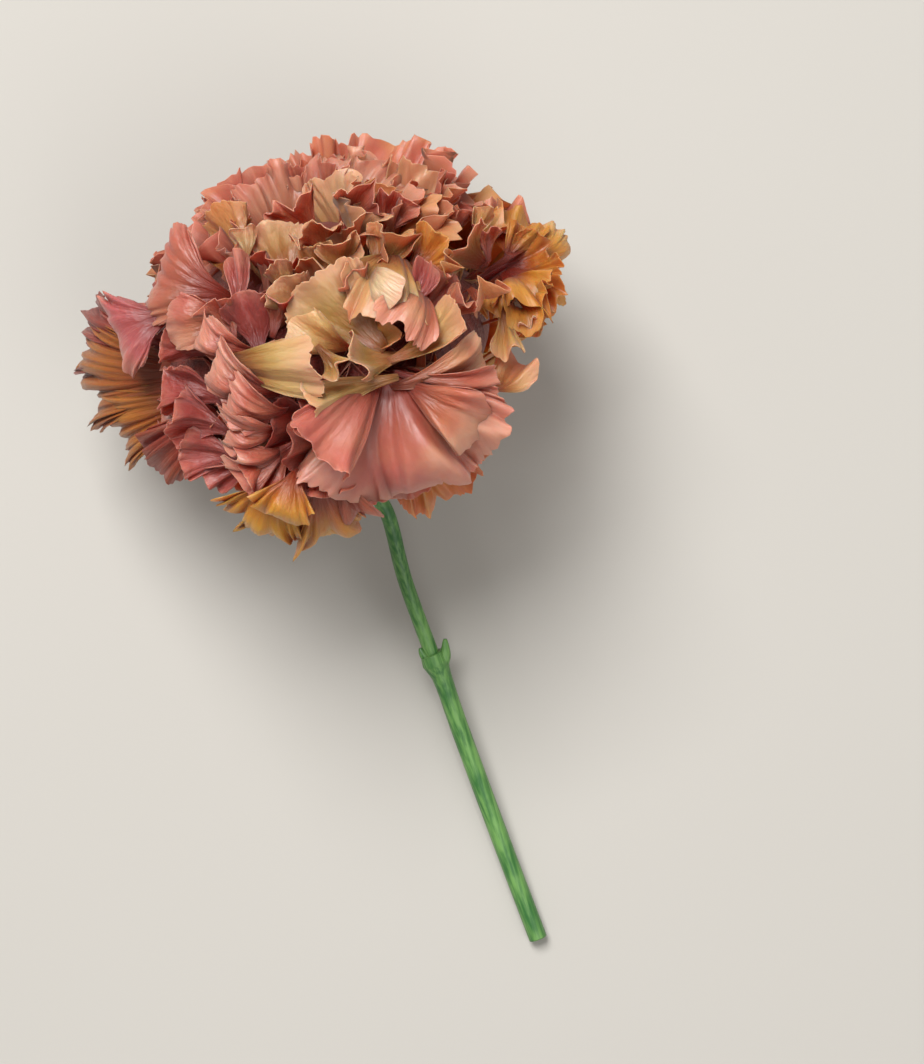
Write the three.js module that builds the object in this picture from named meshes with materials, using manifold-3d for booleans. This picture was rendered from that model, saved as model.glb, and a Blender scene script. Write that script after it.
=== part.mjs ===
// A lisianthus flower as picked: one full double bloom with frilled petals, on a cut stem with one
// leaf node. It lies on its side. The bloom rests on the petals that its weight presses flat, and
// the stem comes down to its cut end.
//
// Millimetres. +Z is up, +Y runs along the stem towards the bloom, and the origin is under the
// middle of the flower, on the surface that it lies on.

import * as THREE from "three";
import { mergeVertices } from "three/addons/utils/BufferGeometryUtils.js";
import Module from "manifold-3d";

const wasm = await Module();
wasm.setup();

// Driving dimensions
const BLOOM_RADIUS = 45; // across the rims of the widest petals
const BLOOM_HALF_DEPTH = 33; // from the bloom's middle to its crown, along the bloom's own axis
const BLOOM_LIFT_DEG = 33; // how far the bloom's axis points up from the surface
const BLOOM_NOD_DEG = 5; // how far the axis leans to the right of the stem's line
const BLOOM_HEIGHT = 38.3; // of the bloom's middle over the surface
const VIEW_TURN_DEG = 18; // from the stem's line to the way that the bloom is looked at
const HEART_DEPTH = -6; // along the axis, of the point that the claws run towards
const PETAL_THICKNESS = 0.7;
const CLAW = 0.12; // breadth of a petal's root as a share of its rim
const CURL_START = 0.62; // share of a petal's length where its curl begins
const PRESS_SOFTNESS = 1.5; // height over which the lowest petals flatten onto the surface
const STEM_RADIUS = 1.4; // between the bloom and the leaf node
const LOWER_STEM_RADIUS = 1.75; // below the leaf node
const COLLAR_RADIUS = 2.6; // of the swollen leaf node
const SEPAL_LENGTH = 17;
const SEPAL_THICKNESS = 0.8;
const WELL_RADIUS = 3.4; // of the opening at the crown that the pistil stands in
const CLEARANCE = 0.3; // between neighbouring pieces

const degrees = (angle) => (angle * Math.PI) / 180;
const between = (low, high, share) => low + (high - low) * share;
const vector = (x, y, z) => new THREE.Vector3(x, y, z);

// A repeatable number from 0 to 1 for petal k and purpose salt.
function chance(k, salt) {
  const wave = Math.sin(k * 12.9898 + salt * 78.233) * 43758.5453;
  return wave - Math.floor(wave);
}

// The bloom's own directions: along its axis, to its right and to its front.
const lift = degrees(BLOOM_LIFT_DEG);
const nod = degrees(BLOOM_NOD_DEG);
const MIDDLE = vector(0, 0, BLOOM_HEIGHT);
const AXIS = vector(Math.sin(nod) * Math.cos(lift), Math.cos(nod) * Math.cos(lift), Math.sin(lift));
const RIGHT = vector(Math.cos(nod), -Math.sin(nod), 0);
const FRONT = new THREE.Vector3().crossVectors(RIGHT, AXIS);
const bloomFrame = new THREE.Matrix4().makeBasis(RIGHT, FRONT.clone().negate(), AXIS);
bloomFrame.setPosition(MIDDLE);

// The direction at a bearing round the axis: 0 is right, 90 front, 180 left and 270 back.
function outward(bearing) {
  return RIGHT.clone()
    .multiplyScalar(Math.cos(bearing))
    .addScaledVector(FRONT, Math.sin(bearing));
}

// The point at a bearing, a distance from the axis and a height along it.
function bloomPoint(bearing, distance, height) {
  return MIDDLE.clone()
    .addScaledVector(outward(bearing), distance)
    .addScaledVector(AXIS, height);
}

// A closed mesh as a solid that can be joined and cut.
function solidOf(geometry) {
  const bare = geometry.clone();
  bare.deleteAttribute("normal");
  bare.deleteAttribute("uv");
  const merged = mergeVertices(bare, 1e-4);
  return new wasm.Manifold(
    new wasm.Mesh({
      numProp: 3,
      vertProperties: new Float32Array(merged.attributes.position.array),
      triVerts: new Uint32Array(merged.index.array),
    }),
  );
}

// A solid as the geometry of a three.js mesh.
function geometryOf(solid) {
  const mesh = solid.getMesh();
  const geometry = new THREE.BufferGeometry();
  const positions = new Float32Array(mesh.numVert * 3);
  for (let i = 0; i < mesh.numVert; i++) {
    for (let axis = 0; axis < 3; axis++) {
      positions[3 * i + axis] = mesh.vertProperties[mesh.numProp * i + axis];
    }
  }
  geometry.setAttribute("position", new THREE.BufferAttribute(positions, 3));
  geometry.setIndex(new THREE.BufferAttribute(new Uint32Array(mesh.triVerts), 1));
  geometry.computeVertexNormals();
  return geometry;
}

// The largest body of a solid. Loose scraps go, and so do hollows that the joining sealed.
function largest(solid) {
  return solid.decompose().reduce((kept, body) => (body.volume() > kept.volume() ? body : kept));
}

// A closed tube of changing radius along a smooth curve through points.
function tube(points, radii, sides, rings) {
  const curve = new THREE.CatmullRomCurve3(points, false, "centripetal");
  const frames = curve.computeFrenetFrames(rings, false);
  const positions = [];
  const index = [];
  for (let j = 0; j <= rings; j++) {
    const place = (j / rings) * (radii.length - 1);
    const k = Math.min(Math.floor(place), radii.length - 2);
    const radius = between(radii[k], radii[k + 1], place - k);
    const centre = curve.getPoint(j / rings);
    for (let i = 0; i < sides; i++) {
      const turn = (2 * Math.PI * i) / sides;
      const point = centre
        .clone()
        .addScaledVector(frames.normals[j], radius * Math.cos(turn))
        .addScaledVector(frames.binormals[j], radius * Math.sin(turn));
      positions.push(point.x, point.y, point.z);
      if (j === rings) continue;
      const here = j * sides + i;
      const beside = j * sides + ((i + 1) % sides);
      index.push(here, beside, beside + sides, here, beside + sides, here + sides);
    }
  }
  for (const [j, flip] of [[0, true], [rings, false]]) {
    const centre = curve.getPoint(j / rings);
    const middle = positions.length / 3;
    positions.push(centre.x, centre.y, centre.z);
    for (let i = 0; i < sides; i++) {
      const here = j * sides + i;
      const beside = j * sides + ((i + 1) % sides);
      index.push(middle, flip ? beside : here, flip ? here : beside);
    }
  }
  const geometry = new THREE.BufferGeometry();
  geometry.setAttribute("position", new THREE.BufferAttribute(new Float32Array(positions), 3));
  geometry.setIndex(index);
  return solidOf(geometry);
}

// A thin closed solid from rows of points, each row with its own number of cells. The middle
// surface is moved to either side by half the thickness and closed round the edge, and both faces
// are split into triangles alike.
function sheetSolid(rows, thickness) {
  const points = rows.flat();
  const first = rows.map((_, j) => rows.slice(0, j).reduce((sum, row) => sum + row.length, 0));
  const cells = rows.map((row) => row.length - 1);
  const face = [];
  for (let j = 0; j + 1 < rows.length; j++) {
    let i = 0;
    let k = 0;
    while (i < cells[j] || k < cells[j + 1]) {
      const lower = first[j] + i;
      const upper = first[j + 1] + k;
      const lowerNext = (i + 0.5) / cells[j] <= (k + 0.5) / cells[j + 1];
      if (k === cells[j + 1] || (i < cells[j] && lowerNext)) {
        face.push(lower, lower + 1, upper);
        i++;
      } else {
        face.push(lower, upper + 1, upper);
        k++;
      }
    }
  }
  const sheet = new THREE.BufferGeometry().setFromPoints(points);
  sheet.setIndex(face);
  sheet.computeVertexNormals();
  const positions = [];
  for (const side of [1, -1]) {
    points.forEach((point, k) => {
      const normal = new THREE.Vector3().fromBufferAttribute(sheet.attributes.normal, k);
      const moved = point.clone().addScaledVector(normal, (side * thickness) / 2);
      positions.push(moved.x, moved.y, moved.z);
    });
  }
  const back = points.length;
  const last = rows.length - 1;
  const index = [...face];
  for (let k = 0; k < face.length; k += 3) {
    index.push(back + face[k], back + face[k + 2], back + face[k + 1]);
  }
  const rim = [];
  for (let i = 0; i < cells[0]; i++) rim.push(i);
  for (let j = 0; j < last; j++) rim.push(first[j] + cells[j]);
  for (let i = cells[last]; i > 0; i--) rim.push(first[last] + i);
  for (let j = last; j > 0; j--) rim.push(first[j]);
  rim.forEach((here, k) => {
    const next = rim[(k + 1) % rim.length];
    index.push(here, back + next, next, here, back + here, back + next);
  });
  const shell = new THREE.BufferGeometry();
  shell.setAttribute("position", new THREE.BufferAttribute(new Float32Array(positions), 3));
  shell.setIndex(index);
  return solidOf(shell);
}

// A point of a petal's middle surface. across runs from -1 to 1 and along from the root, 0, to the
// rim, 1. The petal is a fan of rays from its root that keeps the side that its face looks to. Its
// spine bows by the belly and curls near the rim, its breadth bends round the spine as an arc, it
// twists towards the rim, and the rim waves to either side.
function petalPoint(petal, across, along) {
  const length = petal.root.distanceTo(petal.tip);
  const chord = petal.tip.clone().sub(petal.root).normalize();
  const side = new THREE.Vector3().crossVectors(chord, petal.face).normalize();
  const up = new THREE.Vector3().crossVectors(side, chord);
  const t = along * (1 - petal.shoulder * (1 - Math.sqrt(1 - across ** 2)) ** 2);
  const spread = degrees(petal.spread);
  const ray = across * spread;
  const s = t * Math.cos(ray);
  const lateral = length * (t * Math.sin(ray) + CLAW * across * (1 - t) ** 2 * Math.sin(spread));
  const curl = degrees(petal.curl);
  const curlRadius = ((1 - CURL_START) * length) / Math.max(Math.abs(curl), 0.001);
  const turn = (Math.max(s - CURL_START, 0) * length) / curlRadius;
  const forward = Math.min(s, CURL_START) * length + curlRadius * Math.sin(turn);
  const bow = 4 * petal.belly * s * (1 - s) + Math.sign(curl) * curlRadius * (1 - Math.cos(turn));
  const wave =
    petal.fold * t ** 1.7 * Math.sin(Math.PI * petal.folds * across + petal.phase) +
    petal.frill * t ** 3.5 * Math.sin(2 * Math.PI * petal.frills * across + petal.phase);
  const bend = lateral / petal.wrap;
  const sideways = (petal.wrap - wave) * Math.sin(bend);
  const upwards = petal.wrap * (1 - Math.cos(bend)) + wave * Math.cos(bend);
  const twist = degrees(petal.twist) * t;
  return petal.root
    .clone()
    .addScaledVector(chord, forward)
    .addScaledVector(side, sideways * Math.cos(twist) - upwards * Math.sin(twist))
    .addScaledVector(up, bow + sideways * Math.sin(twist) + upwards * Math.cos(twist));
}

// Heights near and below the surface are squeezed to lie just above it, in the same order.
function press(height) {
  const depth = height / PRESS_SOFTNESS;
  return depth > 8 ? height : PRESS_SOFTNESS * Math.log1p(Math.exp(depth));
}

// The petal's claw runs from deep in the heart to the root, and its limb on to the rim.
function petalSolid(petal) {
  const claw = [-1, 1].map((side) =>
    petalPoint(petal, side, 0).lerp(bloomPoint(0, 0, HEART_DEPTH), 0.6),
  );
  const rows = petal.cells.map((count, j) => {
    const along = (j / (petal.cells.length - 1)) ** 0.85;
    return Array.from({ length: count + 1 }, (_, i) =>
      petalPoint(petal, -1 + (2 * i) / count, along),
    );
  });
  const sheet = [claw, ...rows];
  sheet.flat().forEach((point) => (point.z = press(point.z)));
  return sheetSolid(sheet, PETAL_THICKNESS);
}

// A point seen as the camera sees it: millimetres right, up and out from the bloom's middle.
function seen(right, up, out) {
  const turn = degrees(-VIEW_TURN_DEG);
  return vector(right, up, out).applyAxisAngle(vector(0, 0, 1), turn).add(MIDDLE);
}

// The petals that show in front, each with the place of its root and of its tip and the way it
// faces, right, up and out. spread is half the fan's angle, wrap the radius that its breadth bends
// round, belly its bow, curl and twist the turn of its rim, all in millimetres and degrees.
const COMMON = {
  spread: 35,
  wrap: 40,
  belly: -3,
  curl: -40,
  twist: 0,
  fold: 1.5,
  folds: 1.6,
  frill: 1.2,
  frills: 3.5,
  shoulder: 0.36,
};
const FRONT_PETALS = [
  {
    name: "fan", root: [11, -5, 29], tip: [16, -27, 31], face: [0.05, -0.3, 1],
    spread: 70, wrap: -34, belly: 4, curl: -60, fold: 4, folds: 2.6,
  },
  {
    name: "fan_left", root: [8.5, -5.5, 30], tip: [-4.5, -22.5, 40.5], face: [-0.2, -0.4, 0.9],
    spread: 24, wrap: -14, belly: 3, curl: 55, twist: 14,
  },
  {
    name: "fan_right", root: [14, -7, 30.5], tip: [27.5, -15.5, 33], face: [0.3, -0.3, 1],
    spread: 26, wrap: -14, belly: 3.5, curl: -70, twist: -12, fold: 2.4,
  },
  {
    name: "under_orange", root: [14.5, -17, 25], tip: [22, -29, 15], face: [0.2, -0.5, 0.85],
    spread: 36,
  },
  {
    name: "far_right", root: [29, -7.5, 24], tip: [35.5, -1.5, 19], face: [-0.3, 0, 1],
    spread: 30,
  },
  {
    name: "olive_band", root: [11, -2.5, 34], tip: [24, 6, 34], face: [-0.1, 0.4, 0.95],
    spread: 22, wrap: 12, belly: -2, curl: 25,
  },
  {
    name: "cream_band", root: [12, -6, 34.5], tip: [-3, -10.5, 43], face: [-0.1, -0.25, 1],
    spread: 15, wrap: 8,
  },
  {
    name: "cream_shell", root: [-19.5, -2.5, 27.5], tip: [-1, -4, 44], face: [-0.1, -0.4, 1],
    spread: 17, wrap: -9, belly: 2.5, curl: 20, fold: 0.8,
  },
  {
    name: "bowl", root: [9.5, -1, 32], tip: [-4.5, 11, 36], face: [0.15, -0.15, 1],
    spread: 38, wrap: 24, belly: -2.5, curl: -20,
  },
  {
    name: "hanging", root: [13.5, 15, 23.5], tip: [10, 5, 40], face: [0, -0.2, 1],
    spread: 30, wrap: -14, belly: 2, curl: -50,
  },
  {
    name: "ochre_mid", root: [7.5, 11.5, 24.5], tip: [11, 22, 27.5], face: [0.08, 0.55, 0.83],
    spread: 34,
  },
  {
    name: "ochre_right", root: [13.5, 13.5, 22.5], tip: [19, 21.5, 25], face: [0.2, 0.55, 0.82],
    spread: 34,
  },
  { name: "crown_low", root: [0, 15, 21], tip: [-2, 20.5, 28.5], face: [0, -0.1, 1], spread: 40 },
  {
    name: "crown_right", root: [2, 19.5, 14.5], tip: [6.5, 25.5, 22.5], face: [0.2, 0, 1],
    spread: 38,
  },
  {
    name: "beige", root: [-8, 9.5, 23.5], tip: [-11.5, 22.5, 21.5], face: [-0.22, 0.58, 0.78],
    spread: 34, wrap: 20,
  },
  {
    name: "big_pink", root: [-18.5, 9.5, 21.5], tip: [-32, 15, 14.5], face: [-0.35, 0, 0.95],
    spread: 56, wrap: -26, belly: 3.5, curl: -55, fold: 1,
  },
  {
    name: "big_pink_low", root: [-18, 5, 24.5], tip: [-29.5, 4, 26.5], face: [-0.4, -0.1, 0.95],
    spread: 34, wrap: -22, belly: 3, curl: -50, fold: 1,
  },
  {
    name: "olive_inside", root: [-20.5, 13, 13], tip: [-22.5, 24.5, 7], face: [-0.2, -0.6, 0.8],
    spread: 42, wrap: 13, curl: 20,
  },
  {
    name: "mauve_shell", root: [-13, -1.5, 27], tip: [-15.5, 9.5, 31], face: [-0.1, -0.4, 0.9],
    spread: 36, wrap: 13, belly: -2,
  },
  {
    name: "ridge_1", root: [-12, -1.5, 30], tip: [-25, 2.5, 32], face: [-0.35, -0.55, 0.8],
    spread: 28, wrap: -16, belly: 2, curl: -70,
  },
  {
    name: "ridge_2", root: [-8.5, -8.5, 31.5], tip: [-22.5, -5, 36], face: [-0.35, -0.55, 0.8],
    spread: 30, wrap: -16, belly: 2, curl: -70,
  },
  {
    name: "ridge_4", root: [-9, -14, 30], tip: [-19, -16, 35], face: [-0.35, -0.55, 0.8],
    spread: 30, wrap: -16, belly: 2, curl: -70,
  },
  {
    name: "mauve_4", root: [-16.5, -21, 23], tip: [-27.5, -20.5, 23], face: [-0.4, -0.4, 0.85],
    spread: 34,
  },
  {
    name: "mauve_5", root: [-14.5, -22.5, 23], tip: [-22.5, -26.5, 20.5], face: [-0.3, -0.5, 0.8],
    spread: 26, shoulder: 0.6,
  },
  {
    name: "bottom_coral", root: [-7, -18, 31], tip: [-14.5, -26, 32.5], face: [-0.2, -0.5, 0.85],
    spread: 34,
  },
  {
    name: "gold_left", root: [-7, -23, 28], tip: [-11, -37.5, 7.5], face: [-0.2, -0.5, 0.85],
    spread: 30, wrap: -20, belly: 3, curl: -60,
  },
  {
    name: "gold_right", root: [-3.5, -24, 29], tip: [-3, -38.5, 9.5], face: [0, -0.5, 0.85],
    spread: 30, wrap: -20, belly: 3, curl: -60,
  },
  {
    name: "crescent_top", root: [-33, -4.5, 6], tip: [-48.5, 3.5, -10.5], face: [-0.4, -0.05, 0.9],
    spread: 32, wrap: -20, belly: 3, curl: -60,
  },
  {
    name: "crescent", root: [-33, -8.5, 7.5], tip: [-47.5, -10, -7.5], face: [-0.4, -0.1, 0.9],
    spread: 42, wrap: -22, belly: 4, curl: -60,
  },
  {
    name: "crescent_low", root: [-31.5, -11, 6], tip: [-40.5, -22, -8], face: [-0.4, -0.2, 0.9],
    spread: 32, wrap: -20, belly: 3, curl: -60,
  },
  {
    name: "crimson", root: [-32.5, -7, 21], tip: [-39, 9, 5.5], face: [-0.6, 0.1, 0.8],
    spread: 24, wrap: -10, fold: 2, folds: 3,
  },
  {
    name: "right_gold", root: [32.5, 16, 7], tip: [34.5, 25, -1.5], face: [-0.1, -0.2, 1],
    spread: 32, wrap: 20, belly: -2, curl: -50,
  },
  {
    name: "right_olive", root: [34.5, 16.5, 0.5], tip: [40, 20.5, -2.5], face: [0.1, 0.2, 1],
    spread: 36, wrap: -22,
  },
  {
    name: "right_fan", root: [35.5, 14.5, 2], tip: [42.5, 15, -6], face: [0.3, 0, 1],
    spread: 56, wrap: -22, belly: 2, curl: -30,
  },
  {
    name: "right_wall", root: [32, 14, 2], tip: [38.5, 15.5, 10], face: [-0.75, 0, 0.65],
    spread: 50, wrap: 13, curl: -60,
  },
  {
    name: "right_base", root: [32, 13, 6.5], tip: [33, 9, 21.5], face: [0, 0.6, 0.8],
    spread: 34, wrap: 15, curl: -70,
  },
  {
    name: "right_roof", root: [32, 15, 4], tip: [33, 19.5, 11], face: [0, -0.6, 0.8],
    spread: 30, wrap: 13, belly: -2,
  },
  {
    name: "right_nook", root: [28, 14, 10.5], tip: [24, 16.5, 25.5], face: [0.6, -0.5, 0.6],
    spread: 30, wrap: 9, curl: -50,
  },
  {
    name: "right_brow", root: [28.5, 15, 12], tip: [29, 21, 16], face: [0.2, -0.4, 0.9],
    spread: 26, wrap: 14, curl: -50,
  },
  {
    name: "right_low", root: [32, 11.5, 10], tip: [34, 7, 19.5], face: [0.1, -0.3, 0.95],
    spread: 50, wrap: -24, belly: 2,
  },
  {
    name: "gold_lobe_2", root: [34, 6, 15], tip: [39.5, 3, 12.5], face: [0.2, -0.2, 1],
    spread: 36,
  },
];

function frontPetal(given, k) {
  const petal = { ...COMMON, ...given };
  return {
    ...petal,
    root: seen(...petal.root),
    tip: seen(...petal.tip),
    face: seen(...petal.face).sub(MIDDLE),
    phase: 2 * Math.PI * chance(300 + 7 * k, 7),
    cells: [1, 3, 5, 8],
  };
}

// The others spiral outwards from the crown by the golden angle, all round but for the front.
const SPIRAL_COUNT = 46;
const GOLDEN_ANGLE_DEG = 137.508;

// The bloom's outline as the camera sees it: bearing from the right, counterclockwise, and radius.
const OUTLINE = [
  [-180, 46],
  [-165, 43.5],
  [-144, 36.5],
  [-125, 35],
  [-100, 36.5],
  [-75, 32],
  [-49, 36],
  [-24, 31],
  [0, 33.5],
  [12, 42],
  [25, 45],
  [45, 41],
  [60, 42],
  [75, 41.5],
  [90, 38.5],
  [110, 37.5],
  [130, 36],
  [150, 37],
  [160, 36],
  [168, 41],
  [175, 45],
  [180, 46],
];

function outlineRadius(bearing) {
  const k = OUTLINE.findIndex(([limit]) => limit >= bearing);
  if (k < 1) return OUTLINE[0][1];
  const [before, low] = OUTLINE[k - 1];
  const [after, high] = OUTLINE[k];
  return between(low, high, (bearing - before) / (after - before));
}

// Moves a point of the plain bloom in or out across the camera's view, as far as the outline lies
// within or outside the plain ellipse that the bloom would show.
function outlined(point) {
  const seen = point.clone().applyAxisAngle(vector(0, 0, 1), degrees(VIEW_TURN_DEG));
  const axis = AXIS.clone().applyAxisAngle(vector(0, 0, 1), degrees(VIEW_TURN_DEG));
  const bearing = Math.atan2(seen.y, seen.x);
  const away = bearing - Math.atan2(axis.y, axis.x);
  const short = Math.hypot(BLOOM_HALF_DEPTH * Math.cos(lift), BLOOM_RADIUS * Math.sin(lift));
  const ellipse = 1 / Math.hypot(Math.cos(away) / short, Math.sin(away) / BLOOM_RADIUS);
  const share = outlineRadius((bearing * 180) / Math.PI) / ellipse;
  return point.clone().multiply(vector(share, share, 1));
}

function spiralPetal(k) {
  const share = k / (SPIRAL_COUNT - 1);
  const bearing = degrees(GOLDEN_ANGLE_DEG * k);
  const polar = degrees(between(14, 108, share ** 0.75));
  const root = bloomPoint(bearing, between(4, 9, share), between(2, -16, share ** 0.5));
  const plain = bloomPoint(
    bearing,
    BLOOM_RADIUS * Math.sin(polar),
    BLOOM_HALF_DEPTH * Math.cos(polar),
  ).sub(MIDDLE);
  const tip = outlined(plain).multiplyScalar(between(0.95, 1.02, chance(k, 2))).add(MIDDLE);
  const chord = tip.clone().sub(root);
  const face = AXIS.clone()
    .multiplyScalar(chord.dot(outward(bearing)))
    .addScaledVector(outward(bearing), -chord.dot(AXIS));
  return {
    root,
    tip,
    face,
    spread: between(46, 30, share),
    wrap: between(12, 40, share),
    belly: between(-3, -5, share),
    curl: between(-30, -75, chance(k, 3)),
    shoulder: 0.36,
    twist: between(-15, 15, chance(k, 4)),
    fold: between(0.8, 2, chance(k, 5)),
    folds: between(1.2, 2.2, chance(k, 6)),
    phase: 2 * Math.PI * chance(k, 7),
    frill: 1.1,
    frills: share < 0.3 ? 2 : share < 0.6 ? 2.5 : 3.5,
    cells: [1, 3, 5, 7],
  };
}

// Whether a spiral petal's tip lies where the hand-placed petals show.
function inFront(petal) {
  const out = petal.tip.clone().sub(MIDDLE).applyAxisAngle(vector(0, 0, 1), degrees(VIEW_TURN_DEG));
  const aside = Math.abs(out.x + 3) > 18 && out.y < 25;
  const crescent = out.x < -28 && out.z > -14 && out.y < 8;
  return crescent || (out.z > 3 && (out.y < 18 || aside));
}

function petals() {
  const spiral = Array.from({ length: SPIRAL_COUNT }, (_, k) => spiralPetal(k));
  return [...spiral.filter((petal) => !inFront(petal)), ...FRONT_PETALS.map(frontPetal)];
}

// A body of revolution about the bloom's axis, from distances and heights.
function turned(profile, sides) {
  const outline = profile.map(([distance, height]) => new THREE.Vector2(distance, height));
  const shape = new THREE.LatheGeometry(outline, sides).rotateX(Math.PI / 2);
  return solidOf(shape.applyMatrix4(bloomFrame));
}

// The dense heart of the bloom, which every petal stands out of.
function heart() {
  const profile = [
    [0, -21.5],
    [6, -20.8],
    [16, -16],
    [26, -9],
    [31, -1],
    [31, 7],
    [25, 15],
    [14, 21],
    [0, 23],
  ];
  return turned(profile, 16);
}

function corolla(gapForCalyx) {
  let bloom = heart();
  for (const petal of petals()) bloom = bloom.add(petalSolid(petal));
  const below = solidOf(new THREE.BoxGeometry(200, 200, 20).translate(0, 0, -10));
  const well = turned([[0, 2], [WELL_RADIUS, 2], [WELL_RADIUS, 40], [0, 40]], 12);
  return largest(bloom.subtract(below).subtract(well).subtract(gapForCalyx));
}

// The cup under the bloom and the five slender sepals that spread from it. A margin makes the
// same shape larger all round, for the gap that the petals leave.
function calyx(margin) {
  const cup = [
    [0, -26.4],
    [2.2 + margin, -26.4],
    [3.6 + margin, -24.6],
    [5.2 + margin, -21.6 + margin],
    [0, -21.6 + margin],
  ];
  let whole = turned(cup, 16);
  for (let i = 0; i < 5; i++) {
    const bearing = degrees(54 + 72 * i);
    const along = [0, 0.25, 0.5, 0.75, 1];
    const rows = along.map((t) => {
      const half = (between(1.9, 0.35, t ** 1.4) + margin) * (t === 0 ? 0.8 : 1);
      const distance = between(3, 3 + SEPAL_LENGTH, t);
      const height = -23.2 + 1.2 * t + 3.4 * t * t;
      return [-1, 0, 1].map((across) =>
        bloomPoint(bearing, distance, height + 0.3 * across * across).addScaledVector(
          new THREE.Vector3().crossVectors(outward(bearing), AXIS),
          across * half,
        ),
      );
    });
    whole = whole.add(sheetSolid(rows, SEPAL_THICKNESS + 2 * margin));
  }
  return whole;
}

// The ovary, the style and the two lobes of the stigma, in the well at the crown.
function pistil() {
  const body = [
    [0, 2 + CLEARANCE],
    [2, 2 + CLEARANCE],
    [2.6, 4.5],
    [2.2, 8],
    [0.9, 11],
    [0.8, 15],
    [0, 15],
  ];
  let whole = turned(body, 12);
  for (const side of [-1, 1]) {
    const lobe = new THREE.SphereGeometry(1.25, 10, 7).scale(1, 1.25, 0.8);
    lobe.translate(side * 1.05, 0, 15.2);
    whole = whole.add(solidOf(lobe.applyMatrix4(bloomFrame)));
  }
  return whole;
}

// The stem, with the collar and the leaf stubs of its node, down to the cut end.
function stem() {
  const top = MIDDLE.clone().addScaledVector(AXIS, -26.4 - CLEARANCE);
  const upper = [
    top,
    top.clone().addScaledVector(AXIS, -4),
    vector(0, -31.6, 18.4),
    vector(-0.8, -44.9, 13.2),
    vector(-0.3, -60.5, 9.4),
  ];
  const lower = [
    vector(-0.4, -59.5, 9.6),
    vector(0.1, -65, 8.4),
    vector(0.3, -76, 6.6),
    vector(1.1, -98, 3.8),
    vector(2, -118, 1.76),
  ];
  const thin = STEM_RADIUS;
  const thick = LOWER_STEM_RADIUS;
  let whole = tube(upper, [2.1, thin, thin, thin, thin, thin], 12, 24);
  whole = whole.add(
    tube(lower, [2.2, COLLAR_RADIUS, 1.9, thick, thick, thick, thick, thick, thick, thick], 12, 27),
  );
  const bract = [vector(0.3, -62.6, 9), vector(2, -60.4, 10), vector(2.9, -57.6, 10.6)];
  const lip = [vector(-0.5, -61.5, 9.4), vector(-1.9, -59.4, 9.8), vector(-2.1, -57.8, 10)];
  whole = whole.add(tube(bract, [1.5, 1.1, 0.35], 8, 4));
  return whole.add(tube(lip, [1.1, 0.8, 0.35], 8, 4));
}

// The named pieces
const flower = new THREE.Group();

function addPiece(name, solid, color, roughness) {
  const material = new THREE.MeshStandardMaterial({ color, roughness, metalness: 0 });
  const mesh = new THREE.Mesh(geometryOf(solid), material);
  mesh.name = name;
  flower.add(mesh);
}

addPiece("corolla", corolla(calyx(CLEARANCE)), 0xc07a68, 0.6);
addPiece("calyx", calyx(0), 0x5d7f3c, 0.6);
addPiece("pistil", pistil(), 0x9aa653, 0.6);
addPiece("stem", stem(), 0x4f8a3f, 0.5);

// Centre the whole over the origin, resting at height zero.
const bounds = new THREE.Box3().setFromObject(flower);
flower.children.forEach((piece) => {
  piece.geometry.translate(
    -(bounds.min.x + bounds.max.x) / 2,
    -(bounds.min.y + bounds.max.y) / 2,
    -bounds.min.z,
  );
});

export default flower;
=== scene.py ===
"""A lisianthus flower as picked, lying on a pale floor: one full double bloom with frilled petals, its calyx
and pistil, and a cut stem with one leaf node. Metres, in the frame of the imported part. The camera looks
straight down on it."""

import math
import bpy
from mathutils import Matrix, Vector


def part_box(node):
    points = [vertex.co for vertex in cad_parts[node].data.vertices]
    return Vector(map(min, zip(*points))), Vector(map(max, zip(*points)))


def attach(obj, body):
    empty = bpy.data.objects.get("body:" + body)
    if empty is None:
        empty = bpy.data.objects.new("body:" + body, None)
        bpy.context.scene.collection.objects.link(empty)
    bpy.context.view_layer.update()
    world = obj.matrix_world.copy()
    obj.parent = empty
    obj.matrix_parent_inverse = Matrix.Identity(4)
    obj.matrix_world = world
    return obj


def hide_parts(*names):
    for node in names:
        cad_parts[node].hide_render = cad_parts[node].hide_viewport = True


bl_info = {
    "name": "Lisianthus Flower",
    "version": (1, 0, 0),
    "blender": (4, 5, 0),
    "location": "View3D > Sidebar > Lisianthus",
    "description": "Builds a double lisianthus bloom on its cut stem, with petal, stem and floor materials",
    "category": "Object",
}

import bmesh
import bpy
import numpy as np
from bpy.props import FloatProperty, FloatVectorProperty, PointerProperty

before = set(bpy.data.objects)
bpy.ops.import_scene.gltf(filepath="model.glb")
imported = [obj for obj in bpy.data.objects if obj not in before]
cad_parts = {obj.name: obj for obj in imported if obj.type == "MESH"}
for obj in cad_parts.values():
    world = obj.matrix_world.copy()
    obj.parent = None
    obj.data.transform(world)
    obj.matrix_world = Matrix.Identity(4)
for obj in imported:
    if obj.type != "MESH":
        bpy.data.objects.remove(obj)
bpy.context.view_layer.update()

# Lengths are in millimetres where nothing else is said.
MM = 0.001
BLOOM_RADIUS = 45.0  # across the rims of the widest petals
BLOOM_HALF_DEPTH = 33.0  # from the bloom's middle to its crown, along its own axis
LIFT = math.radians(33)  # how far the bloom's axis points up
NOD = math.radians(5)  # how far it leans to the right of the stem's line
VIEW_TURN = math.radians(18)  # from the stem's line to the way that the bloom is looked at
PRESS_SOFTNESS = 1.5  # height over which the lowest petals flatten onto the floor
HEART_DEPTH = -6.0  # along the axis, of the point that the claws run towards
CURL_START = 0.62  # share of a petal's length where its curl begins
CLAW = 0.12  # breadth of a petal's root as a share of its rim
CLAW_ROWS = 4  # rows of points that carry a petal's root down to the heart
SEPAL_THICKNESS = 0.0006  # metres

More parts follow.
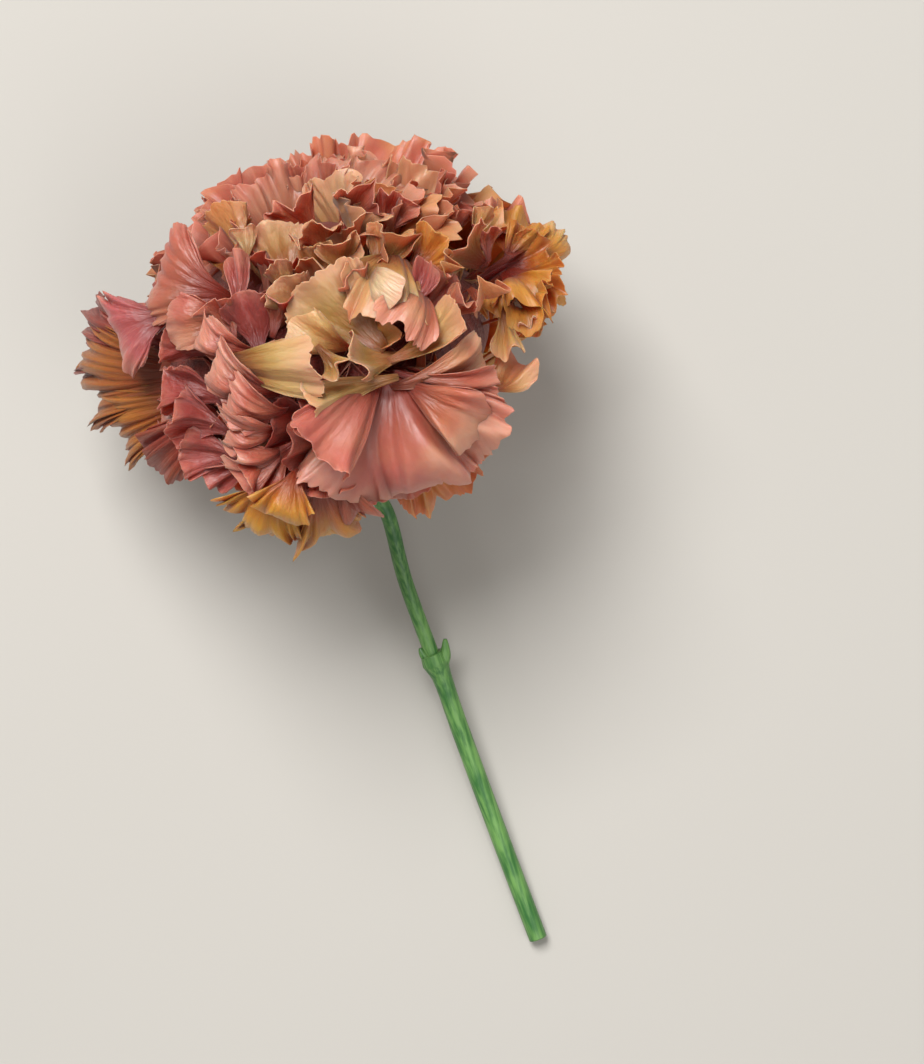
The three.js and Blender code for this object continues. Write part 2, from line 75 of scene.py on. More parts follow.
PISTIL_CORNER = np.array([-2.2612, 0.8364, -0.4247])  # the low corner of its box, from the bloom's middle
MIDDLE = np.array(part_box("pistil")[0]) / MM - PISTIL_CORNER

AXIS = np.array([math.sin(NOD) * math.cos(LIFT), math.cos(NOD) * math.cos(LIFT), math.sin(LIFT)])
RIGHT = np.array([math.cos(NOD), -math.sin(NOD), 0.0])
FRONT = np.cross(RIGHT, AXIS)
# Right, up and out as the camera sees the bloom.
SINE, COSINE = math.sin(VIEW_TURN), math.cos(VIEW_TURN)
SEEN = np.array([(COSINE, -SINE, 0), (SINE, COSINE, 0), (0, 0, 1)])

# How a petal looks where nothing else is said, in millimetres and degrees. spread is half the fan's angle,
# wrap the radius that its breadth bends round, belly its bow, curl and twist the turn of its rim, fold the
# height of its even fold and folds how many there are. shoulder rounds its corners, teeth notch its rim,
# ruffle is how strongly the rim waves, crisp how closely, and rays how strongly lines run up the petal.
# gold, cream and deep are shares of those colours, and gold below 0 turns to rose. deep is deep red that
# stands partly for the throat's own colour and partly for painted shade on petals that lie in hollows,
# behind others or on the bloom's darker lower left. density is the petal's share of its mesh's fineness.
COMMON = dict(
    spread=35, wrap=40, belly=-3, curl=-40, twist=0, fold=1.5, folds=1.6, shoulder=0.36, ruffle=1,
    teeth=0.035, rays=1, gold=0, cream=0.3, deep=0, crisp=1, density=1,
)

# Looks that petals of one kind share.
CREAM = dict(COMMON, ruffle=0.5, rays=0.4, cream=1)
ROLLED = dict(COMMON, spread=30, wrap=-14, belly=2, curl=-50, ruffle=1.3)
OCHRE = dict(COMMON, spread=34, ruffle=1.4, gold=0.4, cream=0.6, crisp=1.4)
CROWN = dict(COMMON, spread=36, ruffle=1.4, rays=1.6, cream=0.25, crisp=1.4)
RIDGE = dict(
    COMMON, spread=30, wrap=-16, belly=2, curl=-70, ruffle=1.6, rays=1.6, gold=-0.25, cream=0.1, crisp=1.4,
)
# In MAUVE and DARK petals deep is painted shade as much as colour: they lie on the darker lower left, in
# gaps and in hollows.
MAUVE = dict(COMMON, spread=34, ruffle=1.6, gold=-0.6, cream=0.2, deep=0.35, crisp=1.35)
DARK = dict(COMMON, ruffle=0.35, rays=0.4, cream=0.1, deep=0.6)
GOLD = dict(
    COMMON, spread=42, wrap=-18, belly=2, curl=-60, shoulder=0.25, ruffle=1.5, rays=1.4, gold=1, cream=0.4,
    crisp=1.4,
)
# Crescent petals are deep red partly as their own browner colour and partly as painted shade on the side
# away from the light.
CRESCENT = dict(
    COMMON, spread=18, wrap=-22, belly=4, curl=-50, fold=0.8, shoulder=0.25, ruffle=1.1, rays=3.2, gold=1,
    cream=0, deep=0.85, crisp=1.9,
)
AMBER = dict(COMMON, spread=30, curl=-50, ruffle=1.3, rays=1.2, gold=0.9)
TAN = dict(COMMON, spread=30, wrap=12, curl=-50, gold=0.4)


def at(root, tip, face, kind=COMMON, **looks):
    """A listed petal. root and tip lie right, up and out from the bloom's middle, face is the way the
    petal looks, and looks say where it differs from its kind."""
    return dict(kind, root=root, tip=tip, face=face, **looks)


# The petals that show in front.
FRONT_PETALS = dict(
    fan=at((11.5, -6.5, 29), (16.5, -29, 28.5), (0.05, -0.3, 1), spread=70, wrap=-34, belly=4, curl=-60,
        fold=4, folds=2.6, ruffle=1.7, rays=0.6, gold=-0.45, cream=0.25),
    fan_left=at((9.5, -7, 30), (-2, -23.5, 40.5), (-0.2, -0.4, 0.9), ROLLED, spread=24, belly=3, curl=55,
        twist=14, ruffle=0.9, rays=0.6, gold=-0.45),
    fan_right=at((14.5, -8.5, 30.5), (27.5, -16.5, 33), (0.3, -0.3, 1), ROLLED, spread=26, belly=3.5,
        curl=-70, twist=-12, fold=2.4, ruffle=1.4, rays=0.7, cream=0.12),
    fan_side=at((12.5, -6.5, 30.5), (30, -8.5, 31), (0.15, -0.5, 0.9), spread=12, wrap=-8, belly=2.5,
        twist=-10, fold=1.2, ruffle=0.8, rays=0.6, gold=0.18, cream=0.1),
    under_orange=at((15, -18, 25), (22.5, -29, 15), (0.2, -0.5, 0.85), spread=36, ruffle=1.5, gold=0.5,
        cream=0.1),
    under_coral=at((20, -14.5, 24.5), (29, -20, 22), (0.4, -0.4, 0.8), spread=36, ruffle=1.4, gold=0.4),
    under_pink=at((6.5, -16, 25), (13, -29.5, 19.5), (0, -0.5, 0.85), spread=38, ruffle=1.1, cream=0.1,
        deep=0.2),
    far_right=at((29, -9, 24), (35, -2.5, 19), (-0.3, 0, 1), CREAM, spread=30, ruffle=0.6, gold=-0.2,
        cream=0.55),
    above_fan=at((12, -9, 32), (28.5, -3, 29), (0.1, -0.5, 0.85), CREAM, spread=18, wrap=18, belly=2,
        ruffle=0.4, cream=0.35),
    olive_band=at((12, -4.5, 34), (24, 3.5, 34), (-0.1, 0.4, 0.95), CREAM, spread=22, wrap=12, belly=-2,
        curl=25, ruffle=0.6, gold=0.15),
    cream_curl=at((14, -3.5, 30.5), (7, -3, 41), (0, 0.3, 1), CREAM, spread=27, wrap=-10, curl=-30,
        rays=0.3),
    throat_and_shade=at((5, -6, 25.5), (18.5, -8, 32), (0, -0.2, 1), DARK, spread=9, wrap=7, ruffle=0.3, cream=0.2,
        deep=0.85),
    cream_band=at((13, -7.5, 34.5), (-1, -12.5, 43), (-0.1, -0.25, 1), CREAM, spread=15, wrap=8),
    cream_shell=at((-17.5, -4, 27.5), (1, -6.5, 44), (-0.1, -0.4, 1), spread=17, wrap=-9, belly=2.5,
        curl=20, fold=0.8, ruffle=0.35, rays=0.3, gold=0.08, cream=0.85),
    cream_lip=at((-0.5, -2.5, 39), (2, -7, 44.5), (-0.3, 0, 1), CREAM, spread=30, wrap=7, curl=-90,
        ruffle=0.4, rays=0.3),
    cream_upper=at((4.5, -2.5, 33.5), (-4.5, 1, 39.5), (-0.1, -0.2, 1), CREAM, spread=26, wrap=-16,
        belly=2, cream=0.95),
    bowl=at((10.5, -3, 32), (-3, 8, 36), (0.15, -0.15, 1), CREAM, spread=38, wrap=24, belly=-2.5,
        curl=-20, gold=0.18, cream=0.9),
    bowl_left=at((-0.5, 1.5, 29.5), (-7.5, 8.5, 34.5), (-0.1, -0.2, 1), CREAM, spread=30, wrap=18,
        belly=-2, ruffle=0.9, cream=0.8),
    bowl_side=at((4.5, -3, 30.5), (11, 2.5, 35), (-0.5, 0, 1), OCHRE, wrap=10, ruffle=0.3, rays=0.4,
        cream=0.8, deep=0.12, crisp=1),
    coral_mid=at((9, 3.5, 32), (5, 10, 35.5), (0.1, -0.1, 1), spread=30, ruffle=1.2, gold=0.25,
        cream=0.35),
    hanging=at((12.5, 14.5, 22.5), (10.5, 4, 38.5), (0, -0.2, 1), ROLLED, wrap=-16, gold=0.35,
        cream=0.55),
    hanging_right=at((16, 8, 26.5), (14.5, 1, 39.5), (0.1, -0.2, 1), ROLLED, gold=0.15, cream=0.25),
    white_curl=at((9, 11, 30.5), (11.5, 5.5, 39.5), (-0.3, -0.2, 1), spread=26, wrap=-6, belly=1.5,
        curl=-60, fold=0.2, shoulder=0.5, ruffle=0.15, teeth=0, rays=0.2, cream=1.25),
    pink_inner=at((14, 4.5, 33.5), (18, 12.5, 32.5), (-0.3, 0, 1), spread=20, wrap=8, curl=-20,
        ruffle=0.3, rays=0.3, gold=-0.6, cream=0),
    coral_right=at((17.5, 3, 28.5), (21.5, 10, 31), (0.2, -0.2, 1), spread=30, ruffle=1.4, gold=0.2,
        cream=0.1, deep=0.1),
    coral_low=at((19.5, 1, 28.5), (25, 5.5, 32), (0.3, -0.2, 1), spread=26, ruffle=1.4, gold=0.2),
    ochre_mid=at((8.5, 9.5, 26.5), (11.5, 18, 30.5), (0.09, 0.49, 0.87), OCHRE, ruffle=1.3),
    ochre_left=at((5, 9, 27), (3, 16, 31.5), (-0.02, 0.47, 0.88), OCHRE, gold=0.25, cream=0.7),
    ochre_right=at((14, 10.5, 25), (19.5, 17.5, 28.5), (0.2, 0.48, 0.85), OCHRE, gold=0.6),
    tan_small=at((16, 11, 26.5), (22, 13, 31), (0.25, 0.41, 0.88), OCHRE, spread=30, gold=0.45, crisp=1),
    crown_low=at((1, 13, 21), (-1, 17.5, 28.5), (0, -0.1, 1), OCHRE, spread=40, rays=1.2, gold=0.25),
    crown_left=at((-1.5, 17.5, 14.5), (-6.5, 22.5, 21.5), (-0.2, 0, 1), CROWN),
    crown_right=at((2.5, 18, 14.5), (7, 23.5, 22.5), (0.2, 0, 1), CROWN, spread=38, gold=0.15),
    crown_far=at((9.5, 17.5, 17), (13.5, 24.5, 20), (0.2, 0.1, 1), CROWN, cream=0.15),
    beige=at((-6.5, 7.5, 23.5), (-10, 20.5, 21.5), (-0.21, 0.57, 0.8), CREAM, spread=34, wrap=20,
        gold=0.1, cream=0.62),
    tan=at((-1, 6, 25.5), (-1.5, 15.5, 28.5), (-0.08, 0.48, 0.87), spread=24, ruffle=0.9, gold=0.4,
        cream=0.7),
    pointed=at((-5, 5.5, 30), (-8, 12.5, 31.5), (-0.16, 0.43, 0.89), spread=24, teeth=0.07, cream=0.55),
    horn=at((-15.5, 4, 28), (-16, 15.5, 26), (-0.4, -0.1, 1), CREAM, spread=15, wrap=-8, shoulder=0.7,
        ruffle=0.25, gold=-0.5, cream=0),
    curled_lip=at((-13.5, 13.5, 23.5), (-15, 20, 23), (-0.2, 0.1, 1), CREAM, spread=28, curl=-85,
        cream=1.15),
    big_pink=at((-18, 7.5, 21), (-31, 12.5, 15), (-0.35, 0, 0.95), DARK, spread=47, wrap=-26, belly=3.5,
        curl=-55, fold=1, ruffle=1.1, gold=-0.35, cream=0.32, deep=0.24, crisp=1.3),
    big_pink_low=at((-16, 3, 24.5), (-27, 2, 26.5), (-0.4, -0.1, 0.95), TAN, spread=34, wrap=-22,
        belly=3, fold=1, rays=0.5, gold=-0.35, cream=0.32, deep=0.22),
    olive_inside=at((-17.5, 11, 19), (-21, 22.5, 11.5), (-0.2, -0.6, 0.8), DARK, spread=34, wrap=13,
        curl=20, ruffle=0.7, gold=0.5, cream=0.95, deep=0.3),
    mauve_shell=at((-11, -3, 27), (-13.5, 7, 31), (-0.1, -0.4, 0.9), DARK, spread=36, wrap=13, belly=-2,
        gold=-0.6, cream=0, deep=0.4),
    pink_curl=at((-15, -2, 29), (-19.5, 5.5, 31), (-0.3, -0.1, 1), spread=26, wrap=-12, curl=-60,
        gold=0.12, cream=0.1, crisp=1.35),
    coral_fold=at((-8.5, -0.5, 30.5), (-7.5, 5.5, 36), (-0.1, -0.2, 1), spread=26, wrap=-12, curl=-60,
        cream=0.15, deep=0.1),
    ridge_1=at((-10.5, -3, 30), (-22, 0, 32), (-0.35, -0.55, 0.8), RIDGE, spread=28),
    ridge_2=at((-7, -10, 31.5), (-19.5, -6.5, 36), (-0.35, -0.55, 0.8), RIDGE),
    ridge_3=at((-6, -13, 32), (-16.5, -12, 38), (-0.35, -0.55, 0.8), RIDGE),
    ridge_4=at((-7, -15.5, 30), (-16.5, -17, 35), (-0.35, -0.55, 0.8), RIDGE),
    ridge_5=at((-6.5, -19.5, 28.5), (-15.5, -23, 31.5), (-0.3, -0.55, 0.8), RIDGE, spread=32, wrap=-18,
        rays=1.4),
    mauve_1=at((-19, -3, 23.5), (-28, -1, 25), (-0.4, -0.2, 0.9), MAUVE, deep=0.3),
    mauve_2=at((-17.5, -11, 25.5), (-28.5, -9.5, 26.5), (-0.4, -0.3, 0.9), MAUVE, cream=0.1, deep=0.45),
    mauve_3=at((-16.5, -16.5, 24.5), (-27, -15, 26.5), (-0.4, -0.35, 0.9), MAUVE, deep=0.4),
    mauve_4=at((-15, -21.5, 23), (-25.5, -21, 23), (-0.4, -0.4, 0.85), MAUVE, cream=0.15),
    mauve_5=at((-13, -23, 23), (-21, -26.5, 20.5), (-0.3, -0.5, 0.8), MAUVE, spread=26, shoulder=0.6,
        cream=0.25),
    bottom_coral=at((-5, -19, 31), (-12, -26.5, 32.5), (-0.2, -0.5, 0.85), spread=34, ruffle=1.3,
        gold=0.1, cream=0.1),
    bottom_pink=at((-0.5, -19.5, 30.5), (1.5, -28, 31.5), (0, -0.5, 0.85), spread=34, ruffle=1.2,
        gold=0.15, cream=0.15),
    # The recess petals are dark sheets of deep red: painted shade in the gaps of the lower front.
    recess_1=at((2, -18, 27), (-8, -16, 35), (-0.1, -0.3, 0.9), DARK, spread=34, wrap=12, deep=0.75),
    recess_2=at((4.5, -19.5, 28.5), (-5, -20, 35.5), (-0.1, -0.3, 0.9), DARK, spread=30, wrap=-12),
    recess_3=at((5, -13, 29.5), (-2.5, -16, 38), (-0.1, -0.3, 0.9), DARK, spread=20, wrap=8, ruffle=0.3,
        deep=0.55),
    gold_left=at((-7.5, -24, 27), (-12.5, -35, 19.5), (-0.1, -0.1, 1), GOLD),
    gold_right=at((-4, -25, 28.5), (-5, -37, 13), (0, -0.1, 1), GOLD, spread=40, shoulder=0.32,
        gold=0.95),
    gold_mid=at((-4.5, -23.5, 31), (-7.5, -32.5, 31), (0, -0.2, 1), GOLD, wrap=-16, curl=-70, gold=0.75,
        cream=0.5, deep=0.08),
    gold_side=at((-1, -24.5, 28), (2, -36, 16), (0.1, -0.3, 0.9), GOLD, spread=28, curl=-50, gold=0.6,
        cream=0.3, deep=0.1, crisp=1),
    brown_lip=at((2, -22.5, 28), (7, -33.5, 20.5), (0.2, -0.5, 0.8), ROLLED, spread=18, wrap=-12,
        curl=-60, gold=0.25, cream=0, deep=0.4),
    crescent_top=at((-19, -4.5, 8.5), (-49, 2.5, -10), (-0.4, -0.05, 0.9), CRESCENT, spread=16, fold=0.3,
        gold=0.25, deep=0.82),
    crescent=at((-18, -5.5, 9.5), (-48, -5, -8.5), (-0.4, -0.1, 0.9), CRESCENT, spread=20, belly=5,
        cream=0.25, deep=0.6),
    crescent_low=at((-17, -7.5, 8.5), (-42.5, -15.5, -4), (-0.4, -0.2, 0.9), CRESCENT, cream=0.3,
        deep=0.5),
    crescent_end=at((-15.5, -9, 8), (-32, -22.5, 9), (-0.35, -0.3, 0.9), CRESCENT, spread=17, gold=0.5),
    crimson=at((-27.5, 4, 17.5), (-38.5, -1, 12.5), (-0.5, 0.05, 0.85), AMBER, spread=46, wrap=-16,
        belly=3, fold=1, ruffle=1.5, gold=-0.8, cream=0, deep=0.05),
    crimson_low=at((-29, 1, 17), (-33.5, 9, 10), (-0.4, 0.1, 0.9), spread=24, wrap=-12, gold=-0.8,
        cream=0.1, deep=0.4),
    right_coral=at((30.5, 20, 4.5), (32.5, 27, -2), (0, 0.3, 1), AMBER, spread=32, wrap=20, curl=-60,
        ruffle=1.2, gold=0.15, cream=0.2),
    right_gold=at((32.5, 15.5, 7), (34.5, 25, -1.5), (-0.1, -0.2, 1), AMBER, spread=32, wrap=20,
        belly=-2, ruffle=1.1, gold=1, cream=0.1, deep=0.15),
    right_olive=at((34.5, 16.5, 0.5), (40, 21, -2.5), (0.1, 0.2, 1), AMBER, spread=36, wrap=-22,
        curl=-40, rays=1.5, cream=0.6),
    right_fan=at((35, 14.5, 2), (43, 15.5, -6), (0.3, 0, 1), RIDGE, spread=56, wrap=-22, curl=-30,
        ruffle=0.8, rays=2, gold=0.55, cream=0.9, crisp=1.3),
    right_wall=at((31, 13.5, 4), (39, 15, 8), (-0.6, 0, 0.8), AMBER, spread=60, wrap=20, belly=-2,
        ruffle=0.9, rays=1.6, cream=0, deep=0.42),
    right_wall_low=at((31.5, 13, 4.5), (37.5, 8, 17), (-0.3, 0.5, 0.8), AMBER, spread=44, wrap=16,
        belly=-2, curl=-60, rays=1.4, cream=0.2, deep=0.3, crisp=1.3),
    right_base=at((32.5, 11, 9), (35, 6.5, 21), (0, 0.3, 0.9), RIDGE, spread=36, wrap=12, belly=-2,
        curl=-80, rays=1.2, gold=0.8, cream=0.6, deep=0.15, crisp=1.3),
    right_roof=at((31.5, 15, 6), (35.5, 21, 5), (-0.3, -0.5, 0.8), TAN, wrap=16, belly=-1, curl=-30,
        rays=1.2, gold=0.95, cream=0, deep=0.3),
    right_nook=at((28, 13, 10.5), (24, 14.5, 25.5), (0.6, -0.5, 0.6), TAN, wrap=9, ruffle=0.7, rays=0.5,
        gold=0, cream=0.5, deep=0.1),
    right_cream=at((26.5, 18, 12.5), (28.5, 24, 11.5), (0.2, -0.1, 1), TAN, spread=24, ruffle=0.8,
        rays=0.6, cream=0.9),
    right_brow=at((28.5, 14, 12), (29, 19.5, 16), (0.2, -0.4, 0.9), TAN, spread=26, wrap=14, ruffle=1.2,
        gold=0.35, cream=0.2, deep=0.1),
    right_lip=at((25, 8.5, 20.5), (28, 8.5, 29), (0.2, 0.2, 1), TAN, curl=-60, ruffle=1.3, cream=0.35),
    right_low=at((32, 11, 10), (34, 5.5, 19.5), (0.1, -0.3, 0.95), AMBER, spread=50, wrap=-24, belly=2,
        curl=-40, gold=0.85, deep=0.2, crisp=1.3),
    gold_lobe_1=at((30.5, 6.5, 18), (32, -2.5, 24), (0, -0.1, 1), spread=19, wrap=-14, ruffle=0.8,
        rays=0.6, gold=0.3, cream=1.05),
    gold_lobe_2=at((34, 5, 15), (39, 2, 12.5), (0.2, -0.2, 1), spread=36, ruffle=1.2, gold=0.35,
        cream=1),
    cream_bit=at((33, 7, 15.5), (35, 3, 19), (0.1, -0.2, 1), spread=24, wrap=-6, ruffle=0.6, cream=1.4),
)


def chance(k, salt):
    """A repeatable number from 0 to 1 for petal k and purpose salt."""
    wave = math.sin(k * 12.9898 + salt * 78.233) * 43758.5453
    return wave - math.floor(wave)


def between(low, high, share):
    """The value that lies a share of the way from low to high."""
    return low + (high - low) * share


def rough(x, seed, base, octaves, fall=0.55):
    """Irregular waves along x: as many sines as octaves, whose lengths don't fit each other, each swelling
    and fading. base is the longest one's half waves to each unit of x, and each sine is fall as high as the
    one before."""
    total, size, rate = 0.0, 1.0, base
    for i in range(octaves):
        a, b, c = (2 * math.pi * chance(seed, 11 + 3 * i + j) for j in range(3))
        turns = rate * math.pi
        drift = x + (0.35 * np.sin(0.37 * turns * x + b) + 0.2 * np.sin(0.83 * turns * x + c)) / rate
        swell = 0.65 + 0.35 * np.sin(0.31 * turns * x + c)
        total = total + size * np.sin(turns * drift + a) * swell
        size *= fall
        rate *= 1.83 * (0.95 + 0.1 * chance(seed, 14 + 3 * i))
    return total


def press(height):
    """Heights near and below the floor are squeezed to lie just above it, in the same order."""
    free = 8  # softnesses above the floor from which nothing is squeezed
    depth = height / PRESS_SOFTNESS
    return np.where(depth > free, height, PRESS_SOFTNESS * np.log1p(np.exp(np.minimum(depth, free))))


def petal_surface(petal, turn, along, ruffling):
    """A petal's middle surface. turn runs from -1 to 1 from edge to edge and along from 0, the root, to 1,
    the rim. It is a fan of rays from the root with rounded shoulders: the ray at angle across * spread
    reaches 1 - shoulder * (1 - cos(turn * 90 degrees))^2 of the length. Its spine bows by the belly and
    curls near the rim, its breadth bends round the spine as an arc, and it twists. Waves to either side grow
    towards the rim: an even fold, broad uneven folds, ruffles half as long as these, pleats half as long as
    the ruffles, and a fine crinkle at the rim itself, which is toothed. The rate says how many waves the
    petal's breadth holds. Ruffles and pleats swell and calm down across the petal, and the pleats run on
    towards the root as rays."""
    seed = petal["seed"]
    chord = petal["tip"] - petal["root"]
    length = np.linalg.norm(chord)
    chord = chord / length
    side = np.cross(chord, petal["face"])
    side /= np.linalg.norm(side)
    up = np.cross(side, chord)
    phase = 2 * math.pi * chance(seed, 7)
    spread = math.radians(petal["spread"])
    rate = length * max(spread, 0.35) * petal["crisp"] / 10.0
    ruffle, wrap = petal["ruffle"] * ruffling, petal["wrap"]
    across = np.sin(turn * math.pi / 2)
    rim = 1 - petal["shoulder"] * (1 - np.cos(turn * math.pi / 2)) ** 2
    rim = rim * (1.02 + 0.035 * rough(turn, seed + 5, 2.2 * rate, 2))
    rim = rim - petal["teeth"] * np.abs(rough(turn, seed + 6, 8 * rate, 2, 0.7)) * along**8
    t = along * rim
    near_rim = along * (0.35 + 0.65 * rim)
    drift = turn + 0.03 * np.sin(6 * along + phase) + 0.02 * np.sin(11 * turn + 5 * along)
    pleats = rough(drift, seed + 1, 5.6 * rate, 2, 0.3)
    folds = rough(turn + 0.06 * np.sin(4 * along + phase), seed + 2, 1.5 * rate, 2, 0.5)
    ruffles = rough(drift, seed + 9, 2.9 * rate, 2, 0.55)
    crinkle = rough(drift, seed + 3, 9 * rate, 2, 0.6)
    calm = 0.7 + 0.45 * rough(turn, seed + 12, 1.3 * rate, 1)
    widening = np.clip(t / 0.6, 0, 1)
    ray = across * spread * (0.74 + 0.26 * widening * widening * (3 - 2 * widening))
    s = t * np.cos(ray)
    lateral = length * (t * np.sin(ray) + CLAW * across * (1 - np.clip(t, 0, 1)) ** 2 * math.sin(spread))
    uneven = math.radians(20) * min(ruffle, 1) * rough(turn, seed + 8, 1.4 * rate, 2)
    curl = math.radians(petal["curl"]) + uneven
    curl = np.where(np.abs(curl) < 1e-3, 1e-3, curl)  # a straight petal is taken as barely curled
    curl_radius = (1 - CURL_START) * length / curl
    turned = np.clip(s - CURL_START, 0, None) * length / curl_radius
    forward = np.minimum(s, CURL_START) * length + curl_radius * np.sin(turned)
    bow = 4 * petal["belly"] * s * (1 - np.minimum(s, 1)) + curl_radius * (1 - np.cos(turned))
    wave = petal["fold"] * near_rim**1.7 * np.sin(math.pi * petal["folds"] * across + phase)
    wave = wave + ruffle * near_rim**2.2 * 1.15 * folds
    wave = wave + ruffle * calm * (near_rim**3 * ruffles + 0.85 * near_rim**3.2 * pleats)
    wave = wave + ruffle * 0.3 * near_rim**7 * crinkle + petal["rays"] * 0.3 * near_rim**2 * pleats
    slip = ruffle * calm * near_rim**5 * (0.6 * rough(turn, seed + 4, 2.6 * rate, 2, 0.5))
    bend = lateral / wrap
    sideways = (wrap - wave) * np.sin(bend) + slip
    upwards = wrap * (1 - np.cos(bend)) + wave * np.cos(bend)
    twist = math.radians(petal["twist"]) * t
    return (
        petal["root"]
        + forward[..., None] * chord
        + (sideways * np.cos(twist) - upwards * np.sin(twist))[..., None] * side
        + (bow + sideways * np.sin(twist) + upwards * np.cos(twist))[..., None] * up
    )


def front_petal(petal, k):
    """A listed petal, turned from the camera's directions into the part's."""
    root, tip, face = (np.array(petal[key]) @ SEEN for key in ("root", "tip", "face"))
    return dict(petal, root=root + MIDDLE, tip=tip + MIDDLE, face=face, seed=300 + 7 * k)


SPIRAL_COUNT = 110
GOLDEN_ANGLE = math.radians(137.508)
INNER_REACH = 0.74  # of the spiral petals that stand behind the listed ones, as a share


def spiral_petal(k):
    """Petal k of the spiral that runs outwards from the crown by the golden angle. middle is 1 where the
    crown shows cream and gold, above the bloom's middle as the camera sees it, and falls to 0 around it."""
    share = k / (SPIRAL_COUNT - 1)
    bearing = GOLDEN_ANGLE * k
    polar = math.radians(between(10, 110, share**0.72))
    reach = between(0.93, 1.0, chance(k, 2))
    outward = RIGHT * math.cos(bearing) + FRONT * math.sin(bearing)
    root = outward * between(4, 8, share) + AXIS * between(2, -19.5, share**0.6)
    tip = (outward * BLOOM_RADIUS * math.sin(polar) + AXIS * BLOOM_HALF_DEPTH * math.cos(polar)) * reach
    behind = in_front(tip)
    tip = outlined(tip) * (INNER_REACH if behind else 1)
    seen = SEEN @ tip
    middle = math.exp(-(((seen[0] - 8) / 16) ** 2) - ((seen[1] - 20) / 9) ** 2)
    chord = tip - root
    petal = dict(
        COMMON,
        root=root + MIDDLE,
        tip=tip + MIDDLE,
        face=AXIS * chord.dot(outward) - outward * chord.dot(AXIS),
        spread=between(36, 28, share),
        wrap=between(12, 40, share),
        belly=between(-3, -5, share),
        curl=between(-30, -80, chance(k, 3)),
        twist=between(-15, 15, chance(k, 4)),
        fold=between(0.8, 2, chance(k, 5)),
        folds=between(1.2, 2.2, chance(k, 6)),
        ruffle=between(1.2, 1.1, share),
        crisp=between(1.45, 1.25, share),
        teeth=0.025,
        rays=1.6,
        gold=0.3 * chance(k, 8) ** 2 + 0.7 * max(seen[0] / BLOOM_RADIUS, 0) + 0.25 * middle,
        cream=0.55 * chance(k, 9) ** 1.5 + 0.45 * middle,
        # Random deep red, and more of it towards the left, as painted shade on the side away from the key
        # light.
        deep=0.12 * chance(k, 10) * (1 - middle) + 0.2 * max(-seen[0] / BLOOM_RADIUS, 0),
        density=0.45 if seen[2] < -6 else 1.0,
        seed=k,
    )
    # Petals that stand behind the others get more deep red as painted shade.
    if behind:
        petal.update(deep=petal["deep"] + 0.12, density=0.3)
    return petal


# The bloom's outline as the camera sees it: radius at each bearing from the right, counterclockwise.
OUTLINE = [
    (-180, 46), (-165, 43.5), (-144, 36.5), (-125, 35), (-100, 36.5), (-75, 32), (-49, 36), (-24, 27),
    (0, 23), (12, 29), (25, 42), (45, 41), (60, 42), (75, 41.5), (90, 38.5), (110, 37.5), (130, 36),
    (150, 37), (160, 36), (168, 41), (175, 45), (180, 46),
]


def outlined(point):
    """A point of the plain bloom, moved in or out across the camera's view as far as the outline lies within
    or outside the plain ellipse that the bloom would show."""
    seen = SEEN @ point
    axis = SEEN @ AXIS
    bearing = math.atan2(seen[1], seen[0])
    away = bearing - math.atan2(axis[1], axis[0])
    lean = math.atan2(axis[2], math.hypot(axis[0], axis[1]))
    short = math.hypot(BLOOM_HALF_DEPTH * math.cos(lean), BLOOM_RADIUS * math.sin(lean))
    ellipse = 1 / math.hypot(math.cos(away) / short, math.sin(away) / BLOOM_RADIUS)
    bearings, radii = zip(*OUTLINE)
    seen[:2] *= np.interp(math.degrees(bearing), bearings, radii) / ellipse
    return seen @ SEEN


def in_front(point):
    """Whether a point lies where the listed petals show: the front of the bloom up to its crown, the
    crescent of petals at its left side, and the hollow at its right."""
    seen = SEEN @ point
    aside = abs(seen[0] + 3) > 18 and seen[1] < 25
    crescent = seen[0] < -28 and seen[2] > -14 and seen[1] < 8
    hollow = seen[0] > 27 and seen[2] > -16 and 6 < seen[1] < 30
    return crescent or hollow or seen[2] > 3 and (seen[1] < 18 or aside)


def claw_rows(first):
    """Rows that carry a petal's root down into the heart: from each point of the limb's first row they run
    straight towards one point deep on the axis."""
    deep = MIDDLE + AXIS * HEART_DEPTH
    share = np.linspace(0.6, 0, CLAW_ROWS, endpoint=False)[:, None, None]
    return first[None] * (1 - share) + deep * share


